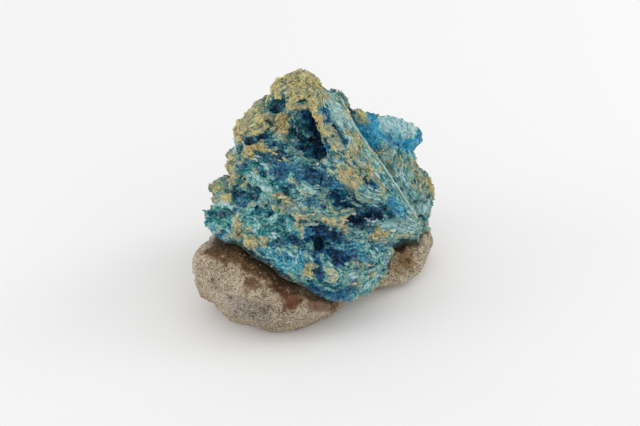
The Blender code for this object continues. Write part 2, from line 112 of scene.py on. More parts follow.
# Where a finish gathers on the crystals: a centre, or two ends, then a radius and a strength
CRYSTAL_ZONES = {
    "crust": {
        "summit": ((-8.7, 5.7, 63.1), (-2, 4, 64), 8, 0.85),
        "left_shoulder": ((-21, 5, 51), (-12, 3, 55), 6, 0.72),
        "left_brow": ((-9.4, 1.3, 53), 3.5, 0.9),
        "below_lens": ((-18, -2, 46), (-14, -2, 48), 2.4, 0.9),
        "left_hip": ((-23.8, -1.3, 40.2), 5, 0.6),
        "left_middle": ((-17.5, -6, 41), (-13, -10, 38.5), 3, 0.35),
        "slab_brow": ((1, -1, 56), (3, -2, 52), 2.0, 1.0),
        "slab_upper": ((6.4, -3.7, 49.7), 2.0, 0.65),
        "slab_middle": ((10.3, -3, 45.4), (12, 0.4, 47.3), 2.8, 0.7),
        "slab_low": ((9, -8, 41), (17, -1, 40), 3.6, 0.65),
        "slab_foot": ((19, -3.5, 34.5), 2.6, 0.7),
        "behind_edge": ((10.8, 13.4, 51.5), (14.2, 12.8, 47.9), 2.2, 0.9),
        "toe": ((-27, -3, 34.5), (-25, -6, 32), 3.6, 0.6),
        "apron_left": ((-20, -15, 28), (-15, -18, 27), 3.6, 0.8),
        "middle": ((-9, -15, 37), 4, 0.5),
        "ledge": ((-4, -18, 33), (8, -15, 30), 3.0, 0.5),
        "flank_edge": ((29.5, 14.8, 27.6), (33.2, 13.2, 23.8), 3.4, 1.0),
        "flank_high": ((27, 14.6, 32), 3.5, 0.5),
        "flank": ((20.7, 13.2, 39.1), (23.8, 11.8, 31.5), 2.6, 0.4),
        "foot": ((14, -17.5, 20.7), 5, 0.4),
        "foot_right": ((18, -12, 24.7), 2.6, 0.7),
        "rim": ((-1.6, -24, 21.5), 2.6, 0.9),
        "back": ((-16, 20, 44), (8, 27, 36), 7, 0.7),
        "back_low": ((14, 28, 22), 9, 0.6),
    },
    "rust": {
        "left_brow": ((-8.8, 1.6, 53.3), 2.4, 1.0),
        "below_lens": ((-16, -2, 47), 2.4, 0.8),
        "slab_brow": ((1.4, -1.1, 55.5), 2.2, 0.9),
        "slab_upper": ((9.5, 0.6, 50.7), 1.3, 1.0),
        "slab_low": ((17.7, 0.3, 38.9), 1.6, 1.0),
        "slab_fibres": ((10, -6, 42), 3.5, 0.6),
        "flank": ((29.3, 13.4, 26.1), 1.6, 1.0),
        "foot": ((19.1, -11.4, 24.3), 1.8, 1.0),
        "ledge": ((-2, -18, 33), 2.5, 0.6),
        "back": ((2, 30, 34), 4, 0.7),
    },
    # The royal zones give the crystals' own deep blue faces, and paint shade in the cave, the pits, the
    # gaps, the groove behind the slab's edge and near the rock
    "royal": {
        "window": ((-11, 4.8, 56), (-7.8, 4.5, 59.8), 1.9, 0.5),
        "window_side": ((-3.8, 0.6, 60.2), 1.2, 1.0),
        "cave_top": ((-1.6, 2.3, 56.1), (-0.5, 5.5, 50.1), 2.2, 1.0),
        "cave_back": ((0.6, 6, 46.6), (2.3, 3.7, 44.7), 2.4, 1.0),
        "cave_floor": ((-3.1, 1.7, 46.2), (3.1, -0.7, 44.7), 2.2, 1.0),
        "cave_left": ((-4, 5, 52), 3.5, 0.45),
        "shadow": ((-12.7, -0.6, 48.5), (-9.1, -2.4, 47.6), 1.4, 0.5),
        "summit_window": ((3, 0, 58), (4, -1, 55.5), 1.8, 0.8),
        "lens": ((-18, -0.3, 48.3), (-13.6, 0.1, 49.7), 1.3, 0.9),
        "gap_high": ((5.8, -1.6, 53.6), (8.6, -2.1, 49.4), 1.1, 1.0),
        "gap_middle": ((8, -5.6, 45.4), (10.3, -5.1, 43.4), 1.0, 0.8),
        "gap_low": ((14.2, -5.1, 39.5), (17.1, -4.3, 36.5), 1.2, 0.9),
        "cave_strip": ((3, -3.3, 51), (4.5, -4, 47), 1.0, 0.9),
        "centre": ((-1.6, -9.4, 46), (1.7, -10.3, 42.4), 1.7, 0.8),
        "hollow": ((5.5, -11, 40.9), (8.7, -6, 33.6), 1.9, 1.0),
        "slot_left": ((6.2, -7.1, 34.5), (10.7, -8.2, 28.9), 2.0, 1.0),
        "slot": ((10.7, -8.2, 28.9), (18.5, -8.6, 29), 2.2, 1.0),
        "face": ((21, -2.8, 29.2), (25, -2.9, 26.2), 2.2, 0.75),
        "behind_edge": ((9.2, 13.2, 51.6), (11, 13.1, 49.6), 1.4, 0.5),
        "behind_edge_low": ((16.4, 12.4, 40.6), (19.1, 11.9, 35), 1.6, 0.45),
        "left_pits": ((-21.2, -6.4, 33.5), (-19.2, -9.2, 33.6), 1.8, 0.5),
        "left_pits_low": ((-19.2, -9.2, 33.6), (-14.3, -13.2, 33.2), 1.8, 0.5),
        "middle_hollow": ((-8, -12, 40.6), 2.4, 0.5),
        "foot": ((12, -18, 23), (17, -15, 20), 3.5, 0.42),
        "rim_right": ((0, -25, 15), (9, -24.3, 13), 2.6, 0.55),
        "mound_shade": ((-9, -8, 43.5), (0.5, -10.5, 43), 3.0, 0.6),
        "navy_patch": ((-6.5, -20.8, 29), (-2.1, -21.6, 27.6), 1.3, 0.45),
        "low_pit": ((-0.2, -19.2, 30.4), (5.8, -17.7, 28.4), 2.3, 1.1),
        "low_pit_middle": ((0.6, -18, 28), (1.6, -17.6, 25), 2.2, 1.1),
        "low_pit_side": ((0.5, -21, 26.1), (1.7, -22.8, 22.5), 1.5, 0.9),
        "low_pit_end": ((1.1, -23.6, 20.2), (2.3, -24.1, 19.4), 1.5, 0.9),
        "low_pit_tail": ((3.4, -19.2, 25.2), (8.4, -20, 22.1), 1.8, 1.0),
        "back_cave": ((-6, 25.5, 35), (1, 27, 31), 2.4, 0.9),
        "back_gap": ((10, 29, 33), (16, 27, 27), 1.6, 0.8),
        "back_gap_left": ((-20, 18, 32), (-14, 25, 28), 1.8, 0.8),
        "side_gap": ((-26, 8, 36), (-24, 14, 30), 1.8, 0.8),
    },
    "green": {
        "window": ((-11, 4.8, 56), (-7.4, 4.2, 60), 2.6, 1.4),
        "cave_wall": ((-4.7, 4.5, 49.5), 3.5, 1.0),
        "chip": ((-3.5, -7.5, 46.5), 1.8, 1.0),
        "slab_side": ((17.7, 0.6, 39), (24.6, -0.4, 27.4), 2.2, 0.9),
        "apron": ((-17, -14, 31), (-8, -18, 31), 3.4, 0.7),
        "left": ((-17.7, -5.5, 41.4), (-14.3, -10.1, 40), 3.5, 0.7),
        "toe": ((-27, -7.4, 29.5), (-23.5, -10.5, 29.5), 3.2, 0.9),
        "flank": ((27, 13, 27), (31, 11, 22), 4, 0.6),
        "back": ((-18, 20.2, 30.7), 8, 0.6),
    },
    # Pale zones are weathered faces; on the flank they are also painted light on its lit side, and at the
    # left edge a painted gleam
    "pale": {
        "slab_top": ((3.6, 4, 59.6), (9.2, 1.5, 51.4), 3.4, 1.0),
        "slab": ((10, 1, 50), (28, -1, 24), 5, 0.35),
        "slab_side": ((16, 3, 44), 2.4, 0.6),
        "cave_lip": ((-1.4, 4, 45.4), 1.4, 0.9),
        "mound": ((-1.6, -13.9, 40.8), 3.0, 0.6),
        "centre_left": ((-18, -7, 40), (-13.5, -11, 38), 2.8, 0.45),
        "cluster_top": ((20, 18, 44), (27, 20, 41), 3.6, 1.0),
        "ledge_right": ((20, -7, 25), (28.1, -2.1, 20.8), 2.6, 0.7),
        "flank_low": ((31.7, 10.9, 19), 3.4, 1.0),
        "flank": ((23, 12, 34), (30.5, 10.3, 19.4), 5, 0.75),
        "toe": ((-27, -5, 33), 4, 1.0),
        "left_edge": ((-22.2, 4.4, 46.7), 3, 0.6),
        "back": ((10.9, 31.7, 30.1), 8, 0.5),
    },
    "azure": {
        "cluster": ((16, 13, 44), (24, 20, 40), 5.5, 1.0),
        "cluster_tip": ((28.3, 19, 37.5), 4.5, 1.0),
        "face": ((21, -2.8, 29.2), (25, -2.9, 26.2), 2.0, 0.8),
        "hollow": ((5.8, -10.4, 40.2), (8.6, -6, 34), 1.6, 0.6),
    },
    # The clear zones are a painted glow: the bright blue that light passing through the crystals gives
    "clear": {
        "cluster": ((12.5, 12.8, 47.4), (16.6, 12.5, 43), 2.4, 1.0),
        "cluster_tip": ((28, 19.5, 37), 2.4, 1.0),
        "cave_strip": ((1.7, 4.8, 48.6), (3.9, -4.9, 47.9), 0.9, 0.9),
        "hollow": ((8.4, -6, 34.2), 1.8, 0.45),
        "face": ((20.6, -3.2, 29.7), (25, -3.3, 26.1), 1.6, 0.25),
        "rim": ((-4, -23.5, 25), 1.4, 0.7),
    },
    "cyan": {
        "rim_left": ((-29, -8, 25), (-24, -13, 23), 2.8, 1.0),
        "rim_middle": ((-19, -17, 23), (-12, -21, 23.5), 3.2, 0.9),
        "rim_right": ((-9, -22.5, 23), (-4, -24, 23), 3.0, 1.0),
        "rim_low": ((0, -25, 16), (7, -25, 14), 2.6, 0.25),
        "cave_strip": ((3.4, -3.5, 50), 1.2, 0.7),
    },
}

# Pits and cracks between the crystals: a centre, or two ends, then a radius and a depth
PITS = {
    "window": ((-11.3, 4.5, 55.6), (-8.6, 4.5, 59.0), 1.9, 1.0),
    "window_side": ((-3.8, 0.6, 60.2), 1.5, 1.2),
    "shadow_left": ((-12.5, -1.6, 48.6), (-9.5, -1, 48.2), 1.4, 0.7),
    "lens": ((-18, -0.3, 48.3), (-13.6, 0.1, 49.7), 1.1, 0.8),
    "gap_high": ((5.8, -1.6, 53.6), (8.6, -2.1, 49.4), 0.8, 0.4),
    "gap_middle": ((8, -5.6, 45.3), (10.6, -5.2, 43.2), 0.7, 0.5),
    "gap_low": ((14, -5, 39.4), (17.6, -4.4, 36.4), 0.9, 0.5),
    "centre": ((-0.5, -9.6, 44.9), 2.0, 1.2),
    "left_pit": ((-21.3, -6.1, 33.3), 1.8, 0.8),
    "left_pit_low": ((-15.5, -11.8, 33.5), (-13, -13, 33), 1.7, 0.9),
    "left_crack": ((-22, -3, 40), (-15.1, -6.6, 37.3), 1.0, 1.0),
    "middle_hollow": ((-7.6, -12.1, 40.6), 2.2, 1.2),
    "hollow": ((6, -9, 38.5), (8.4, -6.2, 34.4), 1.5, 1.2),
    "slot": ((11, -8, 28.7), (18, -8.6, 28.8), 1.4, 1.2),
    "low_pit": ((0.5, -19, 29.4), (5, -18, 28.4), 1.9, 1.5),
    "low_pit_middle": ((0.8, -18, 27.6), (1.4, -17.6, 25.2), 1.7, 1.3),
    "low_pit_tail": ((4.5, -19.7, 24.9), (8.5, -20.3, 22.3), 1.0, 1.0),
    "middle_crack": ((-12.3, -9.9, 41.8), (-8.8, -15.1, 36.5), 0.8, 1.0),
    "navy_patch": ((-6, -20.6, 28.7), (-2.5, -20.6, 29), 1.4, 0.7),
    "ledge_crack": ((-6, -17, 34), (2, -18.5, 31), 0.8, 0.8),
    "brow_pit": ((-15.5, 4.2, 54), 1.2, 1.0),
    "brow_pit_low": ((-12, 2, 52.5), 1.1, 1.0),
    "shoulder_pit": ((-21.2, 0.5, 46.5), 1.5, 1.1),
    "foot_pit": ((12.8, -20.2, 19), (16, -17, 18), 1.0, 0.9),
    "flank_pit": ((27.3, 13.8, 28.3), 1.6, 1.1),
    "flank_pit_low": ((30, 10.5, 22), 1.4, 1.0),
    "back_pit": ((8.4, 31.7, 26.2), (4.4, 31.8, 24.3), 2.2, 1.4),
    "back_pit_left": ((-17.3, 26.6, 36.1), (-12.8, 27.3, 29.5), 2.0, 1.4),
}

# Where the rock's finish changes, and where thin blades grow on the crystals
ROCK_ZONES = {
    "stain": {
        "band_left": ((-27.6, -15.1, 21.8), (-21.8, -19, 22.4), 2.8, 1.0),
        "band": ((-21.8, -18.4, 22.4), (-16.2, -21.4, 21), 3.8, 1.0),
        "band_middle": ((-16.2, -21.4, 21), (-10.7, -23.6, 17.9), 3.4, 1.0),
        "band_right": ((-10.7, -23.9, 17.8), (-5.2, -25.5, 14.9), 3.0, 1.0),
        "band_end": ((-5.2, -25.5, 14.9), (5.9, -19.3, 5.5), 2.0, 0.7),
        "drip": ((-17.5, -24, 19.5), (-17.5, -25.5, 16.5), 2.2, 0.8),
    },
    "rust": {
        "patch": ((-9, -25.3, 16.1), (-7.1, -27, 12.3), 1.8, 1.0),
        "tip": ((1.1, -25, 10.8), (6.2, -18.8, 5.5), 3.2, 0.6),
        "lobe": ((25, -3, 11), 4, 0.5),
    },
    "grey": {
        "front": ((-21.8, -26.7, 10.3), (-14.3, -28, 8.5), 4, 1.0),
        "left": ((-27.4, -23.5, 15.1), 2.4, 0.7),
        "under_rim": ((-29.3, -11.4, 21), (-25.6, -16.5, 22.1), 1.6, 0.9),
    },
    "rough": {
        "lobe": ((22, -4, 11), (31, 2, 8), 7, 1.1),
        "band": ((-22, -20, 21), (-8, -25, 16), 2.4, 0.35),
    },
    "gold": {
        "lobe": ((23.7, -2.6, 13.2), (27.3, -2.9, 9.2), 4, 1.0),
        "lobe_side": ((21.2, -5.6, 13.1), (24.9, -4.5, 8.2), 3, 0.8),
    },
}
BLADE_ZONES = {
    "slab": ((7, 3, 56), (28, 0, 23), 8, 1.0),
    "slab_low": ((10, -7, 42), (22, -4, 28), 6, 1.0),
    "ledge": ((6, -14, 31), (26, -5, 22), 4, 0.7),
}

# Length to width, and lean, of the small leaning crystals; length to width of the thin blades;
# and the least and the greatest width of each
BLOCKS = ((1.3, 0.2), (1.9, 0.3), (2.6, -0.2), (3.6, 0.3))
BLADES = (4.0, 6.0, 9.0)
BLOCK_WIDTH = (0.25, 0.75)
BLADE_WIDTH = (0.18, 0.42)

# Grains of crust gather between these values of 'crust', and of sand between these heights above the floor
CRUST_SHARE = (0.35, 0.8)
SAND_HEIGHT = (0.6, 1.5)

# Sizes of the rock's lumps, sand and pits, and of the steps and knobs where it is broken
ROCK_LUMP = 4
ROCK_SAND = 0.7
ROCK_PIT = 2.6
ROCK_STEP = 1.9
ROCK_KNOB = 2.6

# The ridge along the slab's straight edge: the points that it passes, its width, its crystals' length,
# and the share of a crystal's length at which the next one begins
EDGE_PATH = (
    (8.0, 6.2, 57.0),
    (11.3, 4.2, 50.6),
    (16.2, 4.4, 42.4),
    (19.6, 3.4, 37.9),
    (24.1, 3.2, 30.6),
    (29.0, 1.0, 22.9),
)
EDGE_WIDTH = 0.62
EDGE_LENGTH = (1.6, 4.5)
EDGE_STEP = 0.45

# Bundles of small crystals that stand out by their colour: two ends, a width and a zone's finish
FEATURES = {
    "band_left": ((-17.1, -2.6, 46.8), (-10.4, -6.8, 45.1), 0.9, "royal"),
    "band_tan": ((-14.4, -2.0, 47.1), (-6.5, -8.0, 46.5), 0.7, "crust"),
    "band_right": ((-11.6, -2.6, 46.8), (-4.3, -6.4, 46.5), 0.9, "royal"),
    "band_low": ((-19.1, -1.8, 45.7), (-12.6, -6.5, 44.0), 0.7, "pale"),
    "band_end": ((-8.5, -2.7, 46.9), (-2.2, -0.6, 44.6), 0.8, "cyan"),
    "summit_stripe": ((-0.2, 2.3, 61.4), (2.0, 0.6, 58.0), 0.9, "azure"),
    "summit_stripe_right": ((1.1, 4.0, 61.1), (3.1, 1.8, 58.2), 0.7, "pale"),
    "slab_orange": ((8.3, 0.4, 51.8), (10.3, 0.4, 49.6), 1.2, "rust"),
    "window_rim": ((-6.3, 1.8, 62.0), (-7.2, 3.2, 56.0), 1.0, "crust"),
    # Painted glints on the cave wall, in pale and cyan
    "cave_glint": ((-5.8, 2.8, 53.9), (-4.7, 4.0, 48.4), 0.5, "pale"),
    "cave_glint_right": ((-3.6, 4.6, 49.7), (-1.4, 5.7, 45.8), 0.9, "cyan"),
    "cave_wall": ((-8.3, 3.2, 55.0), (-5.0, 2.5, 48.0), 1.2, "green"),
    # A painted gleam on the left edge
    "left_edge": ((-22.1, 2.5, 47.7), (-22.0, -0.2, 45.4), 1.4, "pale"),
    "rim_chip": ((-4.3, -22.0, 27.2), (-4.6, -24.6, 24.3), 1.0, "pale"),
    "rim_chip_right": ((-3.5, -23.3, 25.8), (-3.2, -24.6, 21.7), 1.0, "azure"),
    "rim_cream": ((-2.7, -24.0, 22.9), (-0.5, -24.4, 19.5), 1.6, "crust"),
    "foot_fibre": ((17.6, -13.9, 22.3), (20.3, -14.1, 14.3), 0.6, "pale"),
    "foot_fibre_left": ((15.9, -15.3, 21.9), (18.6, -16.2, 15.0), 0.6, "pale"),
    "middle_lump": ((3.1, -17.9, 25.0), (7.5, -18.0, 25.8), 1.2, "cyan"),
    "mound": ((-4.0, -13.7, 40.7), (1.2, -11.4, 40.5), 1.0, "pale"),
    "mound_low": ((-3.8, -14.0, 38.9), (0.9, -12.6, 38.7), 0.9, "pale"),
    "hip_crust": ((-15.4, -6.2, 43.1), (-20.4, -4.8, 36.4), 1.2, "crust"),
    "right_ledge": ((16.3, -9.7, 27.9), (24.4, -4.8, 23.3), 1.0, "pale"),
    "right_ledge_end": ((24.4, -4.8, 23.3), (29.9, -0.8, 19.3), 0.9, "pale"),
    "right_ledge_crust": ((18.5, -10.5, 25.1), (27.0, -3.0, 18.4), 0.9, "crust"),
    "cluster_top": ((23.5, 20.6, 42.9), (27.4, 19.5, 40.5), 1.4, "pale"),
    "cluster_glow": ((14.9, 12.9, 44.3), (16.6, 12.2, 41.4), 2.0, "clear"),
    "flank_crust": ((20.5, 12.4, 37.3), (18.0, -0.1, 38.1), 0.9, "crust"),
    "flank_cyan": ((23.8, 13.3, 34.0), (21.0, 1.5, 33.9), 1.0, "cyan"),
    "flank_cyan_low": ((26.5, 11.1, 26.5), (23.9, -1.6, 28.1), 1.0, "cyan"),
    "flank_pale": ((28.9, 10.7, 23.3), (27.5, -0.4, 24.2), 0.9, "pale"),
    "slab_azure": ((3.6, 0.3, 57.2), (6.7, -1.0, 52.9), 0.6, "azure"),
    "slab_pale": ((5.3, 3.6, 57.9), (7.5, 2.1, 54.3), 0.7, "pale"),
    "slab_royal": ((10.0, -3.7, 44.9), (13.4, -4.4, 41.4), 0.6, "royal"),
    "slab_royal_low": ((14.5, -5.1, 39.2), (17.4, -4.3, 36.1), 0.7, "royal"),
    "slab_green": ((19.5, 1.9, 36.9), (22.2, 1.8, 32.3), 1.0, "green"),
    "slab_green_low": ((22.7, 11.4, 28.4), (26.0, 10.6, 23.7), 1.0, "green"),
    "hollow_azure": ((5.5, -10.7, 41.4), (8.7, -5.9, 33.8), 1.2, "azure"),
    "face_azure": ((20.9, -4.0, 30.6), (25.0, -3.3, 26.1), 1.6, "azure"),
    "slab_orange_low": ((17.2, 0.2, 39.6), (18.6, 0.6, 37.7), 1.2, "rust"),
    "cave_orange": ((-8.8, 1.9, 53.8), (-8.5, 0.8, 52.5), 1.6, "rust"),
    "flank_orange": ((29.3, 13.4, 26.8), (29.5, 12.2, 25.1), 1.2, "rust"),
    "lens_orange": ((-18.8, -1.7, 46.6), (-14.4, -1.8, 47.3), 1.0, "rust"),
    "foot_orange": ((17.9, -11.0, 25.1), (20.9, -9.2, 22.2), 1.0, "rust"),
    "rim_azure": ((-15.4, -18.6, 25.5), (-12.6, -21.0, 23.8), 1.4, "azure"),
    "rim_azure_right": ((-9.3, -22.3, 24.1), (-6.0, -23.9, 21.8), 1.4, "azure"),
    "navy_patch": ((-7.0, -20.7, 29.6), (-2.1, -21.6, 27.6), 1.0, "royal"),
    "apron_cream": ((-21.0, -14.0, 30.4), (-17.0, -16.6, 28.9), 1.2, "crust"),
    "apron_cream_low": ((-19.6, -16.1, 26.5), (-16.0, -18.4, 25.7), 1.0, "crust"),
    "foot_crust": ((10.0, -20.5, 21.5), (17.4, -16.2, 17.1), 1.0, "crust"),
    "foot_cyan": ((8.9, -18.9, 24.4), (12.8, -16.1, 23.8), 0.8, "cyan"),
    "foot_green": ((-0.5, -24.8, 18.5), (7.2, -24.8, 15.1), 1.2, "green"),
    "slab_rim": ((2.0, -1.5, 56.9), (3.9, -3.3, 52.0), 0.8, "crust"),
    "slab_rim_low": ((3.9, -3.8, 50.7), (6.1, -5.1, 47.7), 0.8, "crust"),
    "bright_strip": ((1.7, 4.8, 48.6), (3.9, -4.9, 47.9), 1.2, "clear"),
    "cave_lip": ((-2.8, 1.3, 45.8), (0, 5.7, 45.1), 1.4, "green"),
    "green_chip": ((-4.9, -5.8, 46.4), (-2.1, -9.2, 46.3), 1.6, "green"),
    "white_fibre": ((14.5, -8.2, 36.6), (18.8, -4.7, 33.1), 0.6, "pale"),
    "white_fibre_low": ((14.8, -8.5, 35.4), (18.8, -5.6, 32), 0.6, "pale"),
    "white_fibre_high": ((15.3, -6.7, 37), (18.5, -4.4, 34.5), 0.5, "pale"),
    "rose_fibre": ((6.1, -7.1, 44.7), (11.9, -8.5, 38.4), 0.8, "crust"),
    "rose_fibre_middle": ((6.7, -5.9, 46.2), (13.4, -7, 38.8), 0.8, "crust"),
    "rose_fibre_high": ((8.9, -5, 45), (15.1, -5.3, 38.4), 0.7, "crust"),
    "rim_blade": ((-4.6, -22.4, 26.8), (-3.5, -24.4, 22.2), 1.2, "azure"),
    "rim_blade_right": ((-2.9, -22.2, 27), (-4.8, -24.6, 24.3), 0.8, "clear"),
    "teal_ridge": ((8.6, -17.9, 25.1), (11.7, -15.9, 25), 0.8, "cyan"),
    "teal_ridge_right": ((11.7, -15.9, 25), (15.1, -15, 23.1), 0.8, "cyan"),
    "slot_streak": ((6.4, -10.9, 33), (10.4, -6.1, 33.6), 0.5, "pale"),
    "slot_streak_low": ((7.8, -13, 33.4), (11.5, -5.8, 32.1), 0.5, "pale"),
    "ledge": ((3.9, -13.2, 35.2), (8.6, -13.4, 33.7), 1.0, "crust"),
    "ledge_right": ((14.4, -7.7, 27.3), (19.7, -8.4, 25.8), 0.9, "pale"),
}
# The bundles' crystals: length, width, height above the skin, and how much of the skin each one has
FEATURE_LENGTH = (0.7, 1.9)
FEATURE_WIDTH = (0.25, 0.5)
FEATURE_RISE = 0.05
FEATURE_ROOM = 0.4

# The stage: how far the floor reaches, and where each light stands and its size, in metres;
# and the point that the camera looks at
FLOOR_REACH = 3
KEY_LIGHT = ((0.55, 0.2, 0.5), 0.28)
FILL_LIGHT = ((-0.6, -0.1, 0.25), 0.35)
CAMERA_TARGET = Vector((1.22, -2.70, 24.3))


# ---------------------------------------------------------------- trees of nodes


class Wire:
    """What a node gives out, with the arithmetic that the trees are written in."""

    def __init__(self, tree, socket):
        self.tree = tree
        self.socket = socket

    def out(self, name):
        """Another output of the same node."""
        return Wire(self.tree, self.socket.node.outputs[name])

    def sums(self, operation, *values):
        """One Math node, or a Vector Math node where the wire carries a vector."""
        kind = "ShaderNodeMath"
        if self.socket.type == "VECTOR":
            kind = "ShaderNodeVectorMath"
            values = [value if isinstance(value, (Wire, tuple)) else (value,) * 3 for value in values]
        return self.tree.add(kind, {"operation": operation}, dict(enumerate(values)))

    def __add__(self, other):
        return self.sums("ADD", self, other)

    def __sub__(self, other):
        return self.sums("SUBTRACT", self, other)

    def __rsub__(self, other):
        return self.sums("SUBTRACT", other, self)

    def __mul__(self, other):
        return self.sums("MULTIPLY", self, other)

    def __pow__(self, other):
        return self.sums("POWER", self, other)

    __radd__ = __add__
    __rmul__ = __mul__

    def ramp(self, low, high):
        """0 below the low value, 1 above the high one, smooth between."""
        return self.tree.add(
            "ShaderNodeMapRange",
            {"interpolation_type": "SMOOTHSTEP"},
            {"Value": self, "From Min": low, "From Max": high},
        )


class Tree:
    """Adds nodes to a material or to a Geometry Nodes group."""

    def __init__(self, tree):
        self.tree = tree

    def add(self, kind, settings=None, sockets=None, output=0):
        """Adds a node: its settings first, then the values or wires of its sockets."""
        node = self.tree.nodes.new(kind)
        for name, value in (settings or {}).items():
            if name == "stops":
                self.set_stops(node.color_ramp, value)
            else:
                setattr(node, name, value)
        for key, value in (sockets or {}).items():
            if isinstance(value, Wire):
                self.tree.links.new(value.socket, node.inputs[key])
            else:
                node.inputs[key].default_value = value
        return Wire(self, node.outputs[output]) if node.outputs else None

    def set_stops(self, ramp, stops):
        """Gives a ramp its colours, each with its position."""
        while len(ramp.elements) < len(stops):
            ramp.elements.new(1.0)
        for element, (position, colour) in zip(ramp.elements, stops):
            element.position = position
            element.color = (*colour, 1)

    def blend(self, factor, below, above):
        """Mixes two colours, the second one over the first."""
        below, above = [c if isinstance(c, Wire) else (*c, 1) for c in (below, above)]
        return self.add("ShaderNodeMix", {"data_type": "RGBA"}, {0: factor, 6: below, 7: above}, 2)

    def colours(self, factor, *stops):
        """A colour for each value of the factor, between stops of a position and a colour."""
        return self.add("ShaderNodeValToRGB", {"stops": stops}, {"Fac": factor})

    def attribute(self, name, output="Fac"):
        """What the mesh keeps under a name."""
        return self.add("ShaderNodeAttribute", {"attribute_name": name}, output=output)

    def noise(self, place, scale, detail, roughness):
        """Soft noise from 0 to 1."""
        sockets = {"Vector": place, "Scale": scale, "Detail": detail, "Roughness": roughness}
        return self.add("ShaderNodeTexNoise", None, sockets)

    def swing(self, place, scale, detail, roughness):
        """Soft noise on both sides of 0."""
        return self.noise(place, scale, detail, roughness) - 0.5

    def cells(self, place, scale):
        """Cells of one value each, from 0 to 1."""
        return self.add("ShaderNodeTexVoronoi", None, {"Vector": place, "Scale": scale}, "Color")

    def bump(self, height, strength, distance):
        """A normal that follows a height, with the distance in millimetres."""
        sockets = {"Strength": strength, "Distance": distance * MM, "Height": height}
        return self.add("ShaderNodeBump", None, sockets)


def new_material(name):
    """A material with an empty tree but for its shader and output."""
    material = bpy.data.materials.new(name)
    material.use_nodes = True
    return material, Tree(material.node_tree), material.node_tree.nodes["Principled BSDF"]


def plug(tree, shader, links, values):
    """Sets a shader's constants and links what changes over the surface."""
    for name, value in values.items():
        shader.inputs[name].default_value = value
    for name, wire in links.items():
        tree.tree.links.new(wire.socket, shader.inputs[name])


# ---------------------------------------------------------------- meshes


def linked(name, data):
    """An object in the scene for a mesh, a light or a camera."""
    made = bpy.data.objects.new(name, data)
    bpy.context.scene.collection.objects.link(made)
    return made


def mesh_from(bm, name):
    """The mesh of what was built, which is then let go."""
    mesh = bpy.data.meshes.new(name)
    bm.to_mesh(mesh)
    bm.free()
    return mesh


def welded_copy(node, name):
    """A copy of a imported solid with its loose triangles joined."""
    bm = bmesh.new()
    bm.from_mesh(frame["nodes"][node].data)
    bmesh.ops.remove_doubles(bm, verts=bm.verts, dist=0.001 * MM)
    return linked(name, mesh_from(bm, name))


def bake_modifiers(made):
    """Turns what the object's modifiers make into its own plain mesh."""
    graph = bpy.context.evaluated_depsgraph_get()
    mesh = bpy.data.meshes.new_from_object(made.evaluated_get(graph))
    made.modifiers.clear()
    made.data = mesh
    mesh.name = made.name
    return made


def refine(made, grid):
    """Gives the object an even skin of small faces."""
    skin = made.modifiers.new("skin", "REMESH")
    skin.mode = "VOXEL"
    skin.voxel_size = grid
    return bake_modifiers(made)


def read_vectors(items, field):
    """A vector for each of a mesh's parts."""
    values = np.empty(len(items) * 3, np.float32)
    items.foreach_get(field, values)
    return values.reshape(-1, 3).astype(float)


def edge_ends(mesh):
    """The two vertices of each edge."""
    ends = np.empty(len(mesh.edges) * 2, np.int32)
    mesh.edges.foreach_get("vertices", ends)
    return ends.reshape(-1, 2)


def relax(values, ends, rounds):
    """Averages each vertex's value with its neighbours' a number of times."""
    count = len(values)
    one, two = ends[:, 0], ends[:, 1]
    neighbours = np.bincount(one, minlength=count) + np.bincount(two, minlength=count)
    for _ in range(rounds):
        total = np.zeros_like(values)
        for axis, column in enumerate(values.T):
            total[:, axis] = np.bincount(one, column[two], count) + np.bincount(two, column[one], count)
        values = 0.5 * values + 0.5 * total / neighbours[:, None]
    return values


def store(mesh, **kept):
    """Keeps numbers or vectors for the vertices by name, for the materials and the scattering to read."""
    for name, values in kept.items():
        values = np.asarray(values, np.float32)
        kind, field = ("FLOAT_VECTOR", "vector") if values.ndim == 2 else ("FLOAT", "value")
        attribute = mesh.attributes.get(name) or mesh.attributes.new(name, kind, "POINT")
        attribute.data.foreach_set(field, values.ravel())


def store_zones(mesh, zones):
    """Keeps how strongly each vertex lies in each kind of zone, from 0 to 1."""
    store(mesh, **{name: np.clip(values, 0, 1) for name, values in zones.items()})


def recall(mesh, name):
    """The numbers that were kept for the vertices."""
    values = np.empty(len(mesh.vertices), np.float32)
    mesh.attributes[name].data.foreach_get("value", values)
    return values


def smooth_step(low, high, values):
    """0 at the low value, 1 at the high one, smooth between."""
    share = np.clip((values - low) / (high - low), 0, 1)
    return share * share * (3 - 2 * share)


def nearness(points, line, radius):
    """Each point's distance, in radii, from a centre or from the line between two ends."""
    start, end = np.array(line[0], float), np.array(line[-1], float)
    along = end - start
    share = np.clip((points - start) @ along / max(along @ along, 1e-6), 0, 1)
    return np.linalg.norm(points - start - share[:, None] * along, axis=1) / radius


def near_spots(points, spots, full=0.5, gone=1.4):
    """How strongly each point lies in any of the zones, from full near one to nothing some radii away."""
    total = np.zeros(len(points))
    for *line, radius, strength in spots.values():
        total = np.maximum(total, strength * (1 - smooth_step(full, gone, nearness(points, line, radius))))
    return total


def fray(place):
    """A small shift that makes the zones' outlines ragged, in millimetres."""
    return noise.noise_vector(place / 3.2) * 1.3 + noise.noise_vector(place / 1.1) * 0.7


def each(function, points):
    """A function of one place, in millimetres, worked out for many."""
    return np.array([function(Vector(point)) for point in points])


def relief(shape, places, size, height):
    """Heights in millimetres of a relief of some size, at each place."""
    return each(shape, places / (size / MM)) * height / MM


def table_points(mesh):
    """The mesh's vertices in millimetres, from the point that the tables are measured from."""
    return read_vectors(mesh.vertices, "co") / MM + np.array(TABLE_ORIGIN)


# ---------------------------------------------------------------- relief


